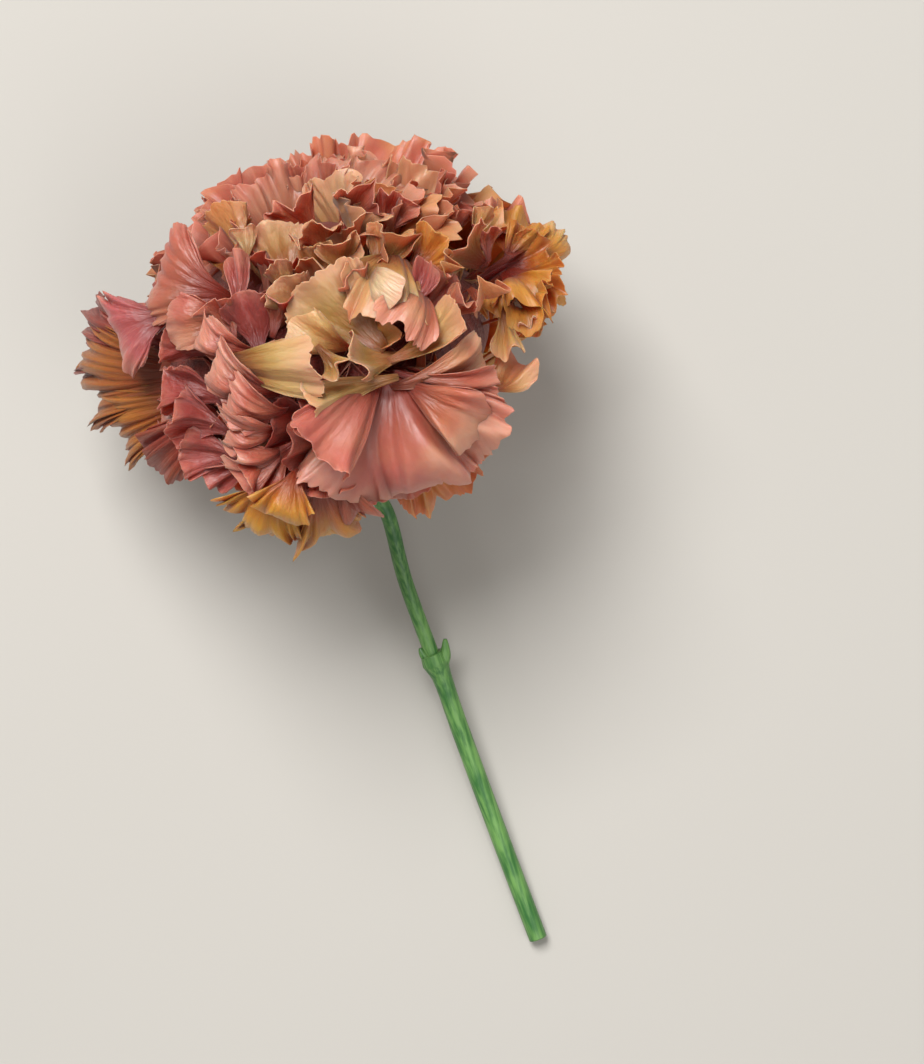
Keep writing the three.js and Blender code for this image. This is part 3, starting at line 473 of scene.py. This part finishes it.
def petal_mesh(name, petals, fineness, ruffling):
    """All the petals of a group in one mesh. Each is a grid of columns across and rows along, as many as
    suit its size and closer together towards the rim, with its place on the petal in the UV map and its
    colours in the tint attribute. A petal that stands hidden behind others has fewer."""
    points, faces, places, tints, offset = [], [], [], [], 0
    for petal in petals:
        length = np.linalg.norm(petal["tip"] - petal["root"])
        density = fineness * petal["density"]
        columns = int(np.clip(2 * length * math.radians(petal["spread"]) * density, 30, 150))
        rows = int(np.clip(length * 0.8, 16, 26))
        turn = np.linspace(-1, 1, columns)[None, :]
        along = 1 - (1 - np.linspace(0, 1, rows)[:, None]) ** 1.8
        limb = petal_surface(petal, turn, along, ruffling)
        sheet = np.concatenate([claw_rows(limb[0]), limb])
        sheet[..., 2] = press(sheet[..., 2])
        points.append(sheet.reshape(-1, 3))
        height = np.concatenate([np.zeros((CLAW_ROWS, 1)), along])
        places.append(np.stack(np.broadcast_arrays(turn * 0.5 + 0.5, height), -1).reshape(-1, 2))
        tint = [petal["gold"], petal["cream"], petal["deep"], min(petal["rays"] / 2, 1)]
        tints.append(np.tile(tint, (len(points[-1]), 1)))
        faces.append(grid_faces(rows + CLAW_ROWS, columns, offset))
        offset += len(points[-1])
    faces = np.concatenate(faces)
    mesh = grid_mesh(name, np.concatenate(points), faces)
    place = np.concatenate(places)[faces.ravel()]
    mesh.uv_layers.new(name="place").data.foreach_set("uv", place.astype(np.float32).ravel())
    tint = mesh.attributes.new("tint", "FLOAT_COLOR", "POINT")
    tint.data.foreach_set("color", np.concatenate(tints).astype(np.float32).ravel())
    return mesh


def grid_faces(rows, columns, first, closed=False):
    """The quads of a grid of points, which are numbered from first and row by row. In a closed grid the last
    column joins the first."""
    i, j = np.meshgrid(np.arange(columns if closed else columns - 1), np.arange(rows - 1))
    right = (i + 1) % columns
    low, high = first + j * columns, first + (j + 1) * columns
    return np.stack([low + i, low + right, high + right, high + i], -1).reshape(-1, 4)


def grid_mesh(name, points, faces):
    """A smooth mesh from points in millimetres and quads."""
    mesh = bpy.data.meshes.new(name)
    mesh.vertices.add(len(points))
    mesh.vertices.foreach_set("co", (points * MM).astype(np.float32).ravel())
    mesh.loops.add(faces.size)
    mesh.loops.foreach_set("vertex_index", faces.astype(np.int32).ravel())
    mesh.polygons.add(len(faces))
    mesh.polygons.foreach_set("loop_start", np.arange(0, faces.size, 4, dtype=np.int32))
    mesh.update(calc_edges=True)
    mesh.polygons.foreach_set("use_smooth", np.ones(len(faces), dtype=bool))
    mesh.validate()
    return mesh


def add_piece(name, mesh, material, node):
    """A piece of the flower: an object at the origin that stands for a node of the part."""
    piece = bpy.data.objects.new(name, mesh)
    bpy.context.scene.collection.objects.link(piece)
    mesh.materials.append(material)
    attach(piece, "root")
    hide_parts(node)
    return piece


def thicken(piece, thickness):
    """Gives a sheet its thickness, half to either side."""
    modifier = piece.modifiers.new("thickness", "SOLIDIFY")
    modifier.thickness = thickness
    modifier.offset = 0
    modifier.use_even_offset = False


def tube_points(path, radii, columns, rows):
    """A closed tube: circles of changing radius stand square on a smooth line through the path's points, and
    the ends close to their middles. radii are spread evenly along the line."""
    place = np.linspace(0, 1, rows)
    line = smooth_line(path, place)
    heading = np.gradient(line, axis=0)
    heading /= np.linalg.norm(heading, axis=1)[:, None]
    first = np.cross(heading, [0.31, -0.2, 0.93])  # square to the line and to a way that it never takes
    first /= np.linalg.norm(first, axis=1)[:, None]
    second = np.cross(heading, first)
    radius = np.interp(place, np.linspace(0, 1, len(radii)), radii)
    turn = np.linspace(0, 2 * math.pi, columns)
    ring = first[:, None] * np.cos(turn)[None, :, None] + second[:, None] * np.sin(turn)[None, :, None]
    body = line[:, None] + ring * radius[:, None, None]
    ends = [np.broadcast_to(line[k], (1, columns, 3)) for k in (0, -1)]
    return np.concatenate([ends[0], body, ends[1]])


def smooth_line(path, place):
    """Points of the curve that runs smoothly through the path, in a cubic piece between each two points."""
    path = np.array(path, float)
    spans = len(path) - 1
    spot = np.clip(place * spans, 0, spans - 1e-9)
    k = spot.astype(int)
    t = (spot - k)[:, None]
    p0, p1 = path[np.maximum(k - 1, 0)], path[k]
    p2, p3 = path[k + 1], path[np.minimum(k + 2, spans)]
    square, cube = 2 * p0 - 5 * p1 + 4 * p2 - p3, 3 * p1 - p0 - 3 * p2 + p3
    return 0.5 * (2 * p1 + (p2 - p0) * t + square * t**2 + cube * t**3)


def turned_points(profile, columns, rows, wobble=0.0):
    """A body turned about the bloom's axis: distances from it and heights along it, joined smoothly. wobble
    is the share by which five soft ribs stand out."""
    outline = smooth_line(profile, np.linspace(0, 1, rows))
    turn = np.linspace(0, 2 * math.pi, columns)
    outward = RIGHT * np.cos(turn)[:, None] + FRONT * np.sin(turn)[:, None]
    distance = outline[:, 0:1] * (1 + wobble * np.sin(5 * turn))[None, :]
    return MIDDLE + outward[None] * np.maximum(distance, 0)[..., None] + AXIS * outline[:, 1][:, None, None]


def surface_mesh(name, sheets):
    """Closed surfaces, each given as rows of points that come round to where they began, in one mesh."""
    points, faces, offset = [], [], 0
    for sheet in sheets:
        rows, ring = len(sheet), sheet.shape[1] - 1
        points.append(sheet[:, :ring].reshape(-1, 3))
        faces.append(grid_faces(rows, ring, offset, closed=True))
        offset += rows * ring
    return close_poles(grid_mesh(name, np.concatenate(points), np.concatenate(faces)))


def close_poles(mesh):
    """Merges the points that lie together where a surface closes and points its faces outwards."""
    work = bmesh.new()
    work.from_mesh(mesh)
    bmesh.ops.remove_doubles(work, verts=work.verts, dist=1e-7)
    bmesh.ops.dissolve_degenerate(work, edges=work.edges, dist=1e-8)
    bmesh.ops.recalc_face_normals(work, faces=work.faces)
    work.to_mesh(mesh)
    work.free()
    return mesh


# Materials


class Wiring:
    """Makes and links the nodes of one shader tree."""

    def __init__(self, tree):
        self.tree = tree

    def give(self, socket, value):
        """Links another node's output to a socket, or sets a plain value on it."""
        if isinstance(value, bpy.types.NodeSocket):
            self.tree.links.new(value, socket)
        else:
            socket.default_value = value

    def node(self, kind, settings=None, **inputs):
        """A shader node with its settings and inputs. An input goes by its name, or by i and its number."""
        made = self.tree.nodes.new(kind)
        for key, value in (settings or {}).items():
            setattr(made, key, value)
        for key, value in inputs.items():
            self.give(made.inputs[int(key[1:]) if key[1:].isdigit() else key], value)
        return made

    def group(self, tree, *values):
        """The outputs of a shared group, with plain values on its inputs."""
        made = self.node("ShaderNodeGroup", {"node_tree": tree})
        for socket, value in zip(made.inputs, values):
            socket.default_value = value
        return made.outputs

    def noise(self, place, scale, detail):
        return self.node("ShaderNodeTexNoise", Vector=place, Scale=scale, Detail=detail).outputs[0]

    def plus(self, a, b, operation="ADD"):
        return self.node("ShaderNodeMath", {"operation": operation}, i0=a, i1=b).outputs[0]

    def minus(self, a, b):
        return self.plus(a, b, "SUBTRACT")

    def times(self, a, b):
        return self.plus(a, b, "MULTIPLY")

    def blend(self, share, a, b):
        """Colour a where share is 0, colour b where it is 1. Each is a link or red, green and blue."""
        a, b = (c if isinstance(c, bpy.types.NodeSocket) else (*c, 1) for c in (a, b))
        return self.node("ShaderNodeMix", {"data_type": "RGBA"}, i0=share, i6=a, i7=b).outputs[2]

    def ramp(self, value, low, high, at_low=0.0, at_high=1.0):
        """A smooth step from at_low, where the value is low, to at_high, where it is high."""
        step = {"interpolation_type": "SMOOTHSTEP"}
        made = self.node("ShaderNodeMapRange", step, i0=value, i1=low, i2=high, i3=at_low, i4=at_high)
        return made.outputs[0]


def new_group(name, inputs, outputs):
    """A shader group with its sockets: the group, its wiring, and the sockets that it is given and fills."""
    group = bpy.data.node_groups.new(name, "ShaderNodeTree")
    for label, value in inputs.items():
        socket = group.interface.new_socket(label, in_out="INPUT", socket_type="NodeSocketFloat")
        socket.default_value = value
    for label in outputs:
        group.interface.new_socket(label, in_out="OUTPUT", socket_type="NodeSocketFloat")
    given = group.nodes.new("NodeGroupInput")
    filled = group.nodes.new("NodeGroupOutput")
    return group, Wiring(group), given.outputs, filled.inputs


def mottle_group():
    """Soft patches at two scales from the surface's own place, for the uneven colour of plant tissue."""
    if "mottle" in bpy.data.node_groups:
        return bpy.data.node_groups["mottle"]
    scales = {"Broad scale": 60.0, "Fine scale": 900.0}
    group, wires, given, filled = new_group("mottle", scales, ("Broad", "Fine", "Second"))
    place = wires.node("ShaderNodeTexCoord").outputs["Object"]
    elsewhere = wires.node("ShaderNodeVectorMath", i0=place, i1=(0.31, 0.17, 0.23)).outputs[0]
    wires.give(filled[0], wires.noise(place, given[0], 3.0))
    wires.give(filled[1], wires.noise(place, given[1], 4.0))
    wires.give(filled[2], wires.minus(wires.noise(elsewhere, given[0], 3.0), 0.5))
    return group


def veins_group():
    """Fine lines that run from a petal's root to its rim, and the soft crumpling of its skin between them,
    from its place across and along. The crumpling also depends on where the petal stands, so that no two
    petals have the same."""
    if "veins" in bpy.data.node_groups:
        return bpy.data.node_groups["veins"]
    group, wires, given, filled = new_group("veins", {"Lines": 70.0, "Creases": 7.0}, ("Veins", "Crumple"))
    place = wires.node("ShaderNodeUVMap", {"uv_map": "place"}).outputs[0]
    across, along, _ = wires.node("ShaderNodeSeparateXYZ", Vector=place).outputs
    surface = wires.node("ShaderNodeTexCoord").outputs["Object"]
    for k, (stretch, detail, drift) in enumerate(((3.0, 2.0, 0.0), (2.2, 3.0, 25.0))):
        x, y = wires.times(across, given[k]), wires.times(along, stretch)
        lines = wires.node("ShaderNodeCombineXYZ", X=x, Y=y)
        apart = wires.node("ShaderNodeVectorMath", {"operation": "SCALE"}, i0=surface, Scale=drift)
        moved = wires.node("ShaderNodeVectorMath", i0=lines.outputs[0], i1=apart.outputs[0])
        wires.give(filled[k], wires.noise(moved.outputs[0], 1.0, detail))
    return group


def new_material(name):
    """A material, its wiring and its Principled shader."""
    material = bpy.data.materials.new(name)
    material.use_nodes = True
    return material, Wiring(material.node_tree), material.node_tree.nodes["Principled BSDF"]


def petal_material(colours):
    """Satin petal tissue in pink, cream, gold or rose, as the petal's tint says, which changes from root to
    rim. Random patches are paler, and edges are paler, partly in their own colour and partly as painted
    highlight. Towards the root and with the tint's deep share it turns deep red, the throat's own colour
    together with painted shade; hollows that ambient occlusion finds turn deep red as painted shade. Veins
    vary all of it, with painted shade and painted highlight in streaks along them."""
    if "petal" in bpy.data.materials:
        return bpy.data.materials["petal"]
    material, wires, shader = new_material("petal")
    plus, minus, times, blend, ramp = wires.plus, wires.minus, wires.times, wires.blend, wires.ramp
    given = wires.node("ShaderNodeAttribute", {"attribute_name": "tint"}).outputs
    rays = given["Alpha"]
    gold, cream, deep = wires.node("ShaderNodeSeparateColor", Color=given["Color"]).outputs
    place = wires.node("ShaderNodeUVMap", {"uv_map": "place"}).outputs[0]
    along = wires.node("ShaderNodeSeparateXYZ", Vector=place).outputs[1]
    mottle, fine, second = wires.group(mottle_group(), 95.0, 1400.0)
    veins, crumple = wires.group(veins_group(), 70.0, 7.0)
    broad = minus(mottle, 0.5)
    lines = times(minus(veins, 0.5), rays)
    height = plus(plus(along, times(broad, 0.7)), times(lines, 0.3))
    fade = ramp(height, 0.1, 0.9)
    pink = blend(fade, colours.pink_root, colours.pink_rim)
    pale = blend(ramp(height, 0.2, 1.0), colours.olive_root, colours.cream_rim)
    ochre = blend(fade, colours.ochre_root, colours.gold_rim)
    colour = blend(ramp(plus(cream, times(broad, 1.1)), 0.1, 0.75), pink, pale)
    colour = blend(ramp(cream, 1.0, 1.5), colour, colours.pale)
    colour = blend(ramp(plus(gold, times(second, 1.2)), 0.15, 0.8), colour, ochre)
    plain = ramp(gold, 0.1, 0.8, 1.0, 0.15)  # gold petals have fewer pale marks
    patches = times(ramp(second, 0.02, 0.3, 0.0, 0.5), plain)
    colour = blend(patches, colour, colours.edge_and_highlight)
    colour = blend(ramp(gold, 0.0, -1.0), colour, colours.rose)
    # Paler towards the rim: the rim's own paler colour and painted highlight.
    rim = times(ramp(height, 0.6, 1.1, 0.0, 0.6), plain)
    colour = blend(rim, colour, colours.edge_and_highlight)
    # The tint's deep share: the throat's own deep red, and painted shade on petals in gaps and on the darker
    # side.
    colour = blend(deep, colour, colours.throat_and_shade)
    # Deep red towards the root is the throat's own colour and painted shade in the gaps there; cream petals
    # take less of it and less painted shade in hollows.
    root_and_shade_share = minus(1.0, times(cream, 0.4))  # cream petals redden less towards the root and in hollows
    root = times(ramp(along, 0.05, 0.72, 0.95, 0.0), root_and_shade_share)
    colour = blend(root, colour, colours.throat_and_shade)
    # Painted shade: ambient occlusion turns the hollows and gaps between petals deep red.
    hollow = wires.node("ShaderNodeAmbientOcclusion", {"samples": 2}, Distance=0.007).outputs["AO"]
    colour = blend(times(ramp(hollow, 0.15, 0.95, 0.78, 0.0), root_and_shade_share), colour, colours.throat_and_shade)
    # Painted shade and painted highlight in streaks along the vein lines: deep red where their value rises,
    # paler where it falls.
    colour = blend(ramp(lines, 0.0, 0.25, 0.0, 0.25), colour, colours.throat_and_shade)
    colour = blend(times(ramp(lines, 0.0, -0.25, 0.0, 0.4), plain), colour, colours.edge_and_highlight)
    wires.give(shader.inputs["Base Color"], colour)
    relief = plus(times(lines, 1.1), times(fine, 0.25))
    creased = wires.node("ShaderNodeBump", Strength=0.5, Distance=0.002, Height=crumple).outputs[0]
    bump = wires.node("ShaderNodeBump", Strength=0.3, Distance=0.0005, Height=relief, Normal=creased)
    wires.give(shader.inputs["Normal"], bump.outputs[0])
    wires.give(shader.inputs["Roughness"], ramp(fine, 0.2, 0.8, 0.4, 0.54))
    shader.inputs["Specular IOR Level"].default_value = 0.6
    shader.inputs["Subsurface Weight"].default_value = 0.55
    shader.inputs["Subsurface Radius"].default_value = (1.0, 0.3, 0.16)
    shader.inputs["Subsurface Scale"].default_value = 0.0015
    shader.inputs["Sheen Weight"].default_value = 0.08
    shader.inputs["Sheen Roughness"].default_value = 0.4
    return material


def green_material(name, dark, light, stripe):
    """Smooth green plant skin with paler patches and fine lengthwise streaks, stripe of them to a metre."""
    if name in bpy.data.materials:
        return bpy.data.materials[name]
    material, wires, shader = new_material(name)
    mottle, fine, _ = wires.group(mottle_group(), 120.0, 1500.0)
    place = wires.node("ShaderNodeMapping", Vector=wires.node("ShaderNodeTexCoord").outputs["Object"])
    place.inputs["Scale"].default_value = (stripe, 60.0, stripe)
    streaks = wires.noise(place.outputs[0], 1.0, 3.0)
    share = wires.ramp(wires.plus(mottle, streaks), 0.75, 1.3)
    wires.give(shader.inputs["Base Color"], wires.blend(share, dark, light))
    height = wires.plus(streaks, wires.times(fine, 0.3))
    bump = wires.node("ShaderNodeBump", Strength=0.25, Distance=0.0003, Height=height)
    wires.give(shader.inputs["Normal"], bump.outputs[0])
    wires.give(shader.inputs["Roughness"], wires.ramp(fine, 0.2, 0.8, 0.34, 0.5))
    shader.inputs["Subsurface Weight"].default_value = 0.12
    shader.inputs["Subsurface Radius"].default_value = (0.4, 0.8, 0.3)
    shader.inputs["Subsurface Scale"].default_value = 0.001
    return material


def floor_material(colours):
    """Matt pale board with a faint grain."""
    material, wires, shader = new_material("floor")
    mottle = wires.group(mottle_group(), 3.0, 400.0)[0]
    darker = tuple(0.97 * c for c in colours.floor)
    wires.give(shader.inputs["Base Color"], wires.blend(wires.ramp(mottle, 0.3, 0.7), darker, colours.floor))
    shader.inputs["Roughness"].default_value = 0.9
    return material


# What a user would change


def colour_setting(name, description, value):
    """A colour setting from red, green and blue out of 255 as seen on a screen."""
    linear = [((c / 255 + 0.055) / 1.055) ** 2.4 for c in value]
    return FloatVectorProperty(
        name=name, description=description, default=linear, subtype="COLOR", min=0, max=1
    )


class FlowerColours(bpy.types.PropertyGroup):
    """The flower's colours"""

    pink_root: colour_setting("Pink petal, root", "Lower part of the pink petals", (194, 118, 84))
    pink_rim: colour_setting("Pink petal, rim", "Upper part of the pink petals", (189, 91, 70))
    olive_root: colour_setting("Cream petal, root", "Lower part of the cream petals", (160, 122, 46))
    cream_rim: colour_setting("Cream petal, rim", "Upper part of the cream petals", (212, 166, 110))
    ochre_root: colour_setting("Gold petal, root", "Lower part of the gold petals", (172, 94, 22))
    gold_rim: colour_setting("Gold petal, rim", "Upper part of the gold petals", (214, 140, 40))
    pale: colour_setting("Pale petal", "Petals whose tint goes past cream", (228, 192, 164))
    rose: colour_setting("Rose petal", "Petals whose tint turns to rose", (174, 84, 88))
    # Paler pink of the rims, also used as painted highlight at the rims and along the veins.
    edge_and_highlight: colour_setting("Petal edge", "The outermost edge of the petals", (230, 156, 132))
    # Deep red of the throat, also used as painted shade in hollows, in gaps and towards the petals' roots.
    throat_and_shade: colour_setting("Throat", "Deep between the petals", (104, 16, 8))
    stem_dark: colour_setting("Stem, dark", "Darker green of the stem", (52, 106, 50))
    stem_light: colour_setting("Stem, light", "Lighter green of the stem", (112, 158, 84))
    sepal: colour_setting("Sepals", "Green of the calyx", (92, 128, 62))
    stigma: colour_setting("Pistil", "Yellow-green of the pistil", (176, 180, 92))
    floor: colour_setting("Floor", "Pale floor", (190, 186, 179))


class FlowerSizes(bpy.types.PropertyGroup):
    """The flower's sizes"""

    petal_thickness: FloatProperty(
        name="Petal thickness", description="Thickness of every petal",
        default=0.00015, min=0.0001, max=0.001, precision=5, unit="LENGTH",
    )
    ruffling: FloatProperty(
        name="Ruffling", description="How strongly the petals' rims wave, as a share of the natural amount",
        default=1.0, min=0.0, max=2.0, subtype="FACTOR",
    )
    camera_distance: FloatProperty(
        name="Camera distance", description="From the bloom's middle to the camera",
        default=0.55, min=0.3, max=2.0, unit="LENGTH",
    )


# The pieces


def add_petals(context, kind, petals, group, fineness):
    """Pieces of the corolla, with a group of so many petals in each. fineness is how many columns of points
    a petal has to each millimetre of its rim."""
    sizes = context.scene.flower_sizes
    material = petal_material(context.scene.flower_colours)
    for part in range(0, len(petals), group):
        name = "%s_petals_%d" % (kind, part // group + 1)
        mesh = petal_mesh(name, petals[part : part + group], fineness, sizes.ruffling)
        thicken(add_piece(name, mesh, material, "corolla"), sizes.petal_thickness)


class FLOWER_OT_front_petals(bpy.types.Operator):
    """Add the listed petals that show in front"""

    bl_idname = "flower.front_petals"
    bl_label = "Front Petals"

    def execute(self, context):
        petals = [front_petal(petal, k) for k, petal in enumerate(FRONT_PETALS.values())]
        add_petals(context, "front", petals, group=12, fineness=3.4)
        return {"FINISHED"}


class FLOWER_OT_spiral_petals(bpy.types.Operator):
    """Add the petals that spiral outwards from the crown"""

    bl_idname = "flower.spiral_petals"
    bl_label = "Spiral Petals"

    def execute(self, context):
        petals = [spiral_petal(k) for k in range(SPIRAL_COUNT)]
        add_petals(context, "spiral", petals, group=20, fineness=2.7)
        return {"FINISHED"}


# Distances from the bloom's axis and heights along it.
HEART_PROFILE = [
    (0, -21), (5, -20.4), (14, -15.5), (23, -9), (28, -1), (28, 6), (23, 13), (12, 19), (4.4, 20), (3.9, 8),
    (3.6, 2.2), (0, 2),
]
CUP_PROFILE = [
    (0, -26.4), (1.6, -26.4), (2.4, -25.8), (3.4, -24.4), (4.6, -22.6), (5.1, -21.8), (4.4, -21.5),
    (0, -21.6),
]
PISTIL_PROFILE = [
    (0, 2.3), (1.4, 2.4), (2.3, 3.4), (2.5, 5), (2.1, 7.6), (1.1, 9.8), (0.8, 12), (0.75, 14.6), (0, 15),
]


class FLOWER_OT_heart(bpy.types.Operator):
    """Add the dense heart that the petals stand out of"""

    bl_idname = "flower.heart"
    bl_label = "Heart"

    def execute(self, context):
        mesh = surface_mesh("heart", [turned_points(HEART_PROFILE, columns=97, rows=60, wobble=0.04)])
        place = np.empty(len(mesh.vertices) * 3)
        mesh.vertices.foreach_get("co", place)
        height = (place.reshape(-1, 3) / MM - MIDDLE) @ AXIS
        low = np.clip((HEART_DEPTH - height) / 6, 0, 1)[:, None]  # 0 in the middle, 1 near the calyx
        # The deep red above is the throat's own colour and painted shade where the heart shows between the
        # petals.
        tints = [0.0, 0.1, 0.8, 0.0] + low * [0.0, 0.8, -0.8, 0.0]  # deep red above, cream below
        tint = mesh.attributes.new("tint", "FLOAT_COLOR", "POINT")
        tint.data.foreach_set("color", tints.astype(np.float32).ravel())
        mesh.uv_layers.new(name="place")
        add_piece("heart", mesh, petal_material(context.scene.flower_colours), "corolla")
        return {"FINISHED"}


class FLOWER_OT_calyx(bpy.types.Operator):
    """Add the cup under the bloom and its five slender sepals"""

    bl_idname = "flower.calyx"
    bl_label = "Calyx"

    def execute(self, context):
        colours = context.scene.flower_colours
        green = green_material("sepal_green", tuple(0.6 * c for c in colours.sepal), colours.sepal, 900.0)
        cup = surface_mesh("calyx_cup", [turned_points(CUP_PROFILE, columns=65, rows=40, wobble=0.03)])
        add_piece("calyx_cup", cup, green, "calyx")
        columns, rows = 13, 40
        across = np.linspace(-1, 1, columns)[None, :]
        along = np.linspace(0, 1, rows)[:, None]
        aside = across * ((1.9 - 1.65 * along**1.3) * (0.8 + 0.2 * np.minimum(along * 4, 1)))
        rise = -23.2 + 1.2 * along + 3.4 * along**2 + 0.45 * across**2 - 0.25 * np.exp(-30 * across**2)
        away = 3 + 17 * along + 0 * across
        points, faces = [], []
        for k in range(5):
            bearing = math.radians(54 + 72 * k)
            outward = RIGHT * math.cos(bearing) + FRONT * math.sin(bearing)
            side = np.cross(outward, AXIS)
            height = rise + 0.25 * np.sin(9 * along + k) * along
            sheet = MIDDLE + away[..., None] * outward + height[..., None] * AXIS + aside[..., None] * side
            points.append(sheet.reshape(-1, 3))
            faces.append(grid_faces(rows, columns, k * rows * columns))
        sepals = grid_mesh("sepals", np.concatenate(points), np.concatenate(faces))
        thicken(add_piece("sepals", sepals, green, "calyx"), SEPAL_THICKNESS)
        return {"FINISHED"}


class FLOWER_OT_pistil(bpy.types.Operator):
    """Add the ovary, the style and the two lobes of the stigma"""

    bl_idname = "flower.pistil"
    bl_label = "Pistil"

    def execute(self, context):
        lobes = []
        turn = np.linspace(0, 2 * math.pi, 33)[None, :]
        rise = np.linspace(0, math.pi, 20)[:, None]
        bumps = 1 + 0.05 * np.sin(9 * turn) * np.sin(7 * rise)
        for side in (-1, 1):
            x = 1.25 * np.sin(rise) * np.cos(turn) * bumps + side * 1.05
            y = 1.5 * np.sin(rise) * np.sin(turn) * bumps
            z = np.cos(rise) + 15.2 + 0 * turn
            lobes.append(MIDDLE + x[..., None] * RIGHT - y[..., None] * FRONT + z[..., None] * AXIS)
        mesh = surface_mesh("pistil", [turned_points(PISTIL_PROFILE, columns=33, rows=40), *lobes])
        stigma = context.scene.flower_colours.stigma
        material = green_material("pistil_green", tuple(0.7 * c for c in stigma), stigma, 900.0)
        add_piece("pistil", mesh, material, "pistil")
        return {"FINISHED"}


class FLOWER_OT_stem(bpy.types.Operator):
    """Add the stem with its leaf node and cut end"""

    bl_idname = "flower.stem"
    bl_label = "Stem"

    def execute(self, context):
        colours = context.scene.flower_colours
        shift = np.array([MIDDLE[0], MIDDLE[1], 0.0])  # to the floor under the bloom's middle
        top = MIDDLE - shift - 26.7 * AXIS
        upper = [top, top - 4 * AXIS, (0, -31.6, 18.4), (-0.8, -44.9, 13.2), (-0.3, -60.5, 9.4)]
        lower = [(-0.4, -59.5, 9.6), (0.1, -65, 8.4), (0.3, -76, 6.6), (1.1, -98, 3.8), (2, -118, 1.76)]
        bract = [(0.3, -62.6, 9), (2, -60.4, 10), (2.9, -57.6, 10.6)]
        lip = [(-0.5, -61.5, 9.4), (-1.9, -59.4, 9.8), (-2.1, -57.8, 10)]
        sheets = [
            tube_points(upper, [2.1] + [1.4] * 5, columns=41, rows=120),
            tube_points(lower, [2.2, 2.6, 1.9] + [1.75] * 7, columns=41, rows=160),
            tube_points(bract, [1.5, 1.1, 0.35], columns=21, rows=20),
            tube_points(lip, [1.1, 0.8, 0.35], columns=21, rows=20),
        ]
        mesh = surface_mesh("stem", [sheet + shift for sheet in sheets])
        green = green_material("stem_green", colours.stem_dark, colours.stem_light, 1800.0)
        add_piece("stem", mesh, green, "stem")
        return {"FINISHED"}


FLOOR_HALF_SIZE = 1600.0
VIEW_CENTRE = (23.76, -33.66, 0.0)  # right and up from the bloom's middle to the middle of the picture
VIEW_HEIGHT = 1064 * 0.18  # that the picture shows at the bloom's middle
SENSOR_HEIGHT = 36  # millimetres
DAYLIGHT = (0.86, 0.84, 0.81, 1)
DAYLIGHT_STRENGTH = 0.3
# Name, place right, up and out from the bloom's middle in metres, size in metres and power in watts.
LAMPS = (("key", (-0.22, 0.42, 0.85), 0.5, 12.8), ("fill", (0.35, -0.5, 0.75), 0.8, 3.0))


class FLOWER_OT_stage(bpy.types.Operator):
    """Add the floor, the lights and the camera"""

    bl_idname = "flower.stage"
    bl_label = "Stage"

    def execute(self, context):
        scene = context.scene
        corners = np.array([(-1, -1, 0), (1, -1, 0), (1, 1, 0), (-1, 1, 0)]) * FLOOR_HALF_SIZE
        floor = bpy.data.objects.new("floor", grid_mesh("floor", corners, np.array([[0, 1, 2, 3]])))
        floor.data.materials.append(floor_material(scene.flower_colours))
        scene.collection.objects.link(floor)
        middle = MIDDLE * MM
        distance = scene.flower_sizes.camera_distance
        lens = bpy.data.cameras.new("camera")
        lens.sensor_fit = "VERTICAL"
        lens.sensor_height = SENSOR_HEIGHT
        lens.lens = SENSOR_HEIGHT * distance / (VIEW_HEIGHT * MM)
        camera = bpy.data.objects.new("camera", lens)
        camera.location = middle + np.array(VIEW_CENTRE) @ SEEN * MM + np.array([0, 0, distance])
        camera.rotation_euler = (0, 0, -VIEW_TURN)
        scene.collection.objects.link(camera)
        scene.camera = camera
        world = bpy.data.worlds.new("studio")
        scene.world = world
        world.use_nodes = True
        sky = world.node_tree.nodes["Background"]
        sky.inputs[0].default_value = DAYLIGHT
        sky.inputs[1].default_value = DAYLIGHT_STRENGTH
        for name, place, width, power in LAMPS:
            lamp = bpy.data.lights.new(name, "AREA")
            lamp.size = width
            lamp.energy = power
            light = bpy.data.objects.new(name, lamp)
            scene.collection.objects.link(light)
            away = np.array(place) @ SEEN
            light.location = middle + away
            heading = -away / np.linalg.norm(away)
            light.rotation_euler = (math.acos(-heading[2]), 0, math.atan2(-heading[0], heading[1]))
        scene.view_settings.view_transform = "Standard"
        return {"FINISHED"}


class FLOWER_PT_panel(bpy.types.Panel):
    """The flower's settings and a button for each piece"""

    bl_idname = "FLOWER_PT_panel"
    bl_label = "Lisianthus Flower"
    bl_space_type = "VIEW_3D"
    bl_region_type = "UI"
    bl_category = "Lisianthus"

    def draw(self, context):
        layout = self.layout
        for group in (context.scene.flower_sizes, context.scene.flower_colours):
            for key in group.__annotations__:
                layout.prop(group, key)
        for operator in PIECES:
            layout.operator(operator.bl_idname)


PIECES = (
    FLOWER_OT_heart,
    FLOWER_OT_spiral_petals,
    FLOWER_OT_front_petals,
    FLOWER_OT_calyx,
    FLOWER_OT_pistil,
    FLOWER_OT_stem,
    FLOWER_OT_stage,
)
CLASSES = (FlowerColours, FlowerSizes, *PIECES, FLOWER_PT_panel)


def register():
    for cls in CLASSES:
        bpy.utils.register_class(cls)
    bpy.types.Scene.flower_sizes = PointerProperty(type=FlowerSizes)
    bpy.types.Scene.flower_colours = PointerProperty(type=FlowerColours)


def unregister():
    del bpy.types.Scene.flower_sizes
    del bpy.types.Scene.flower_colours
    for cls in reversed(CLASSES):
        bpy.utils.unregister_class(cls)


def main():
    register()
    bpy.ops.flower.heart()
    bpy.ops.flower.spiral_petals()
    bpy.ops.flower.front_petals()
    bpy.ops.flower.calyx()
    bpy.ops.flower.pistil()
    bpy.ops.flower.stem()
    bpy.ops.flower.stage()


if __name__ == "__main__":
    main()
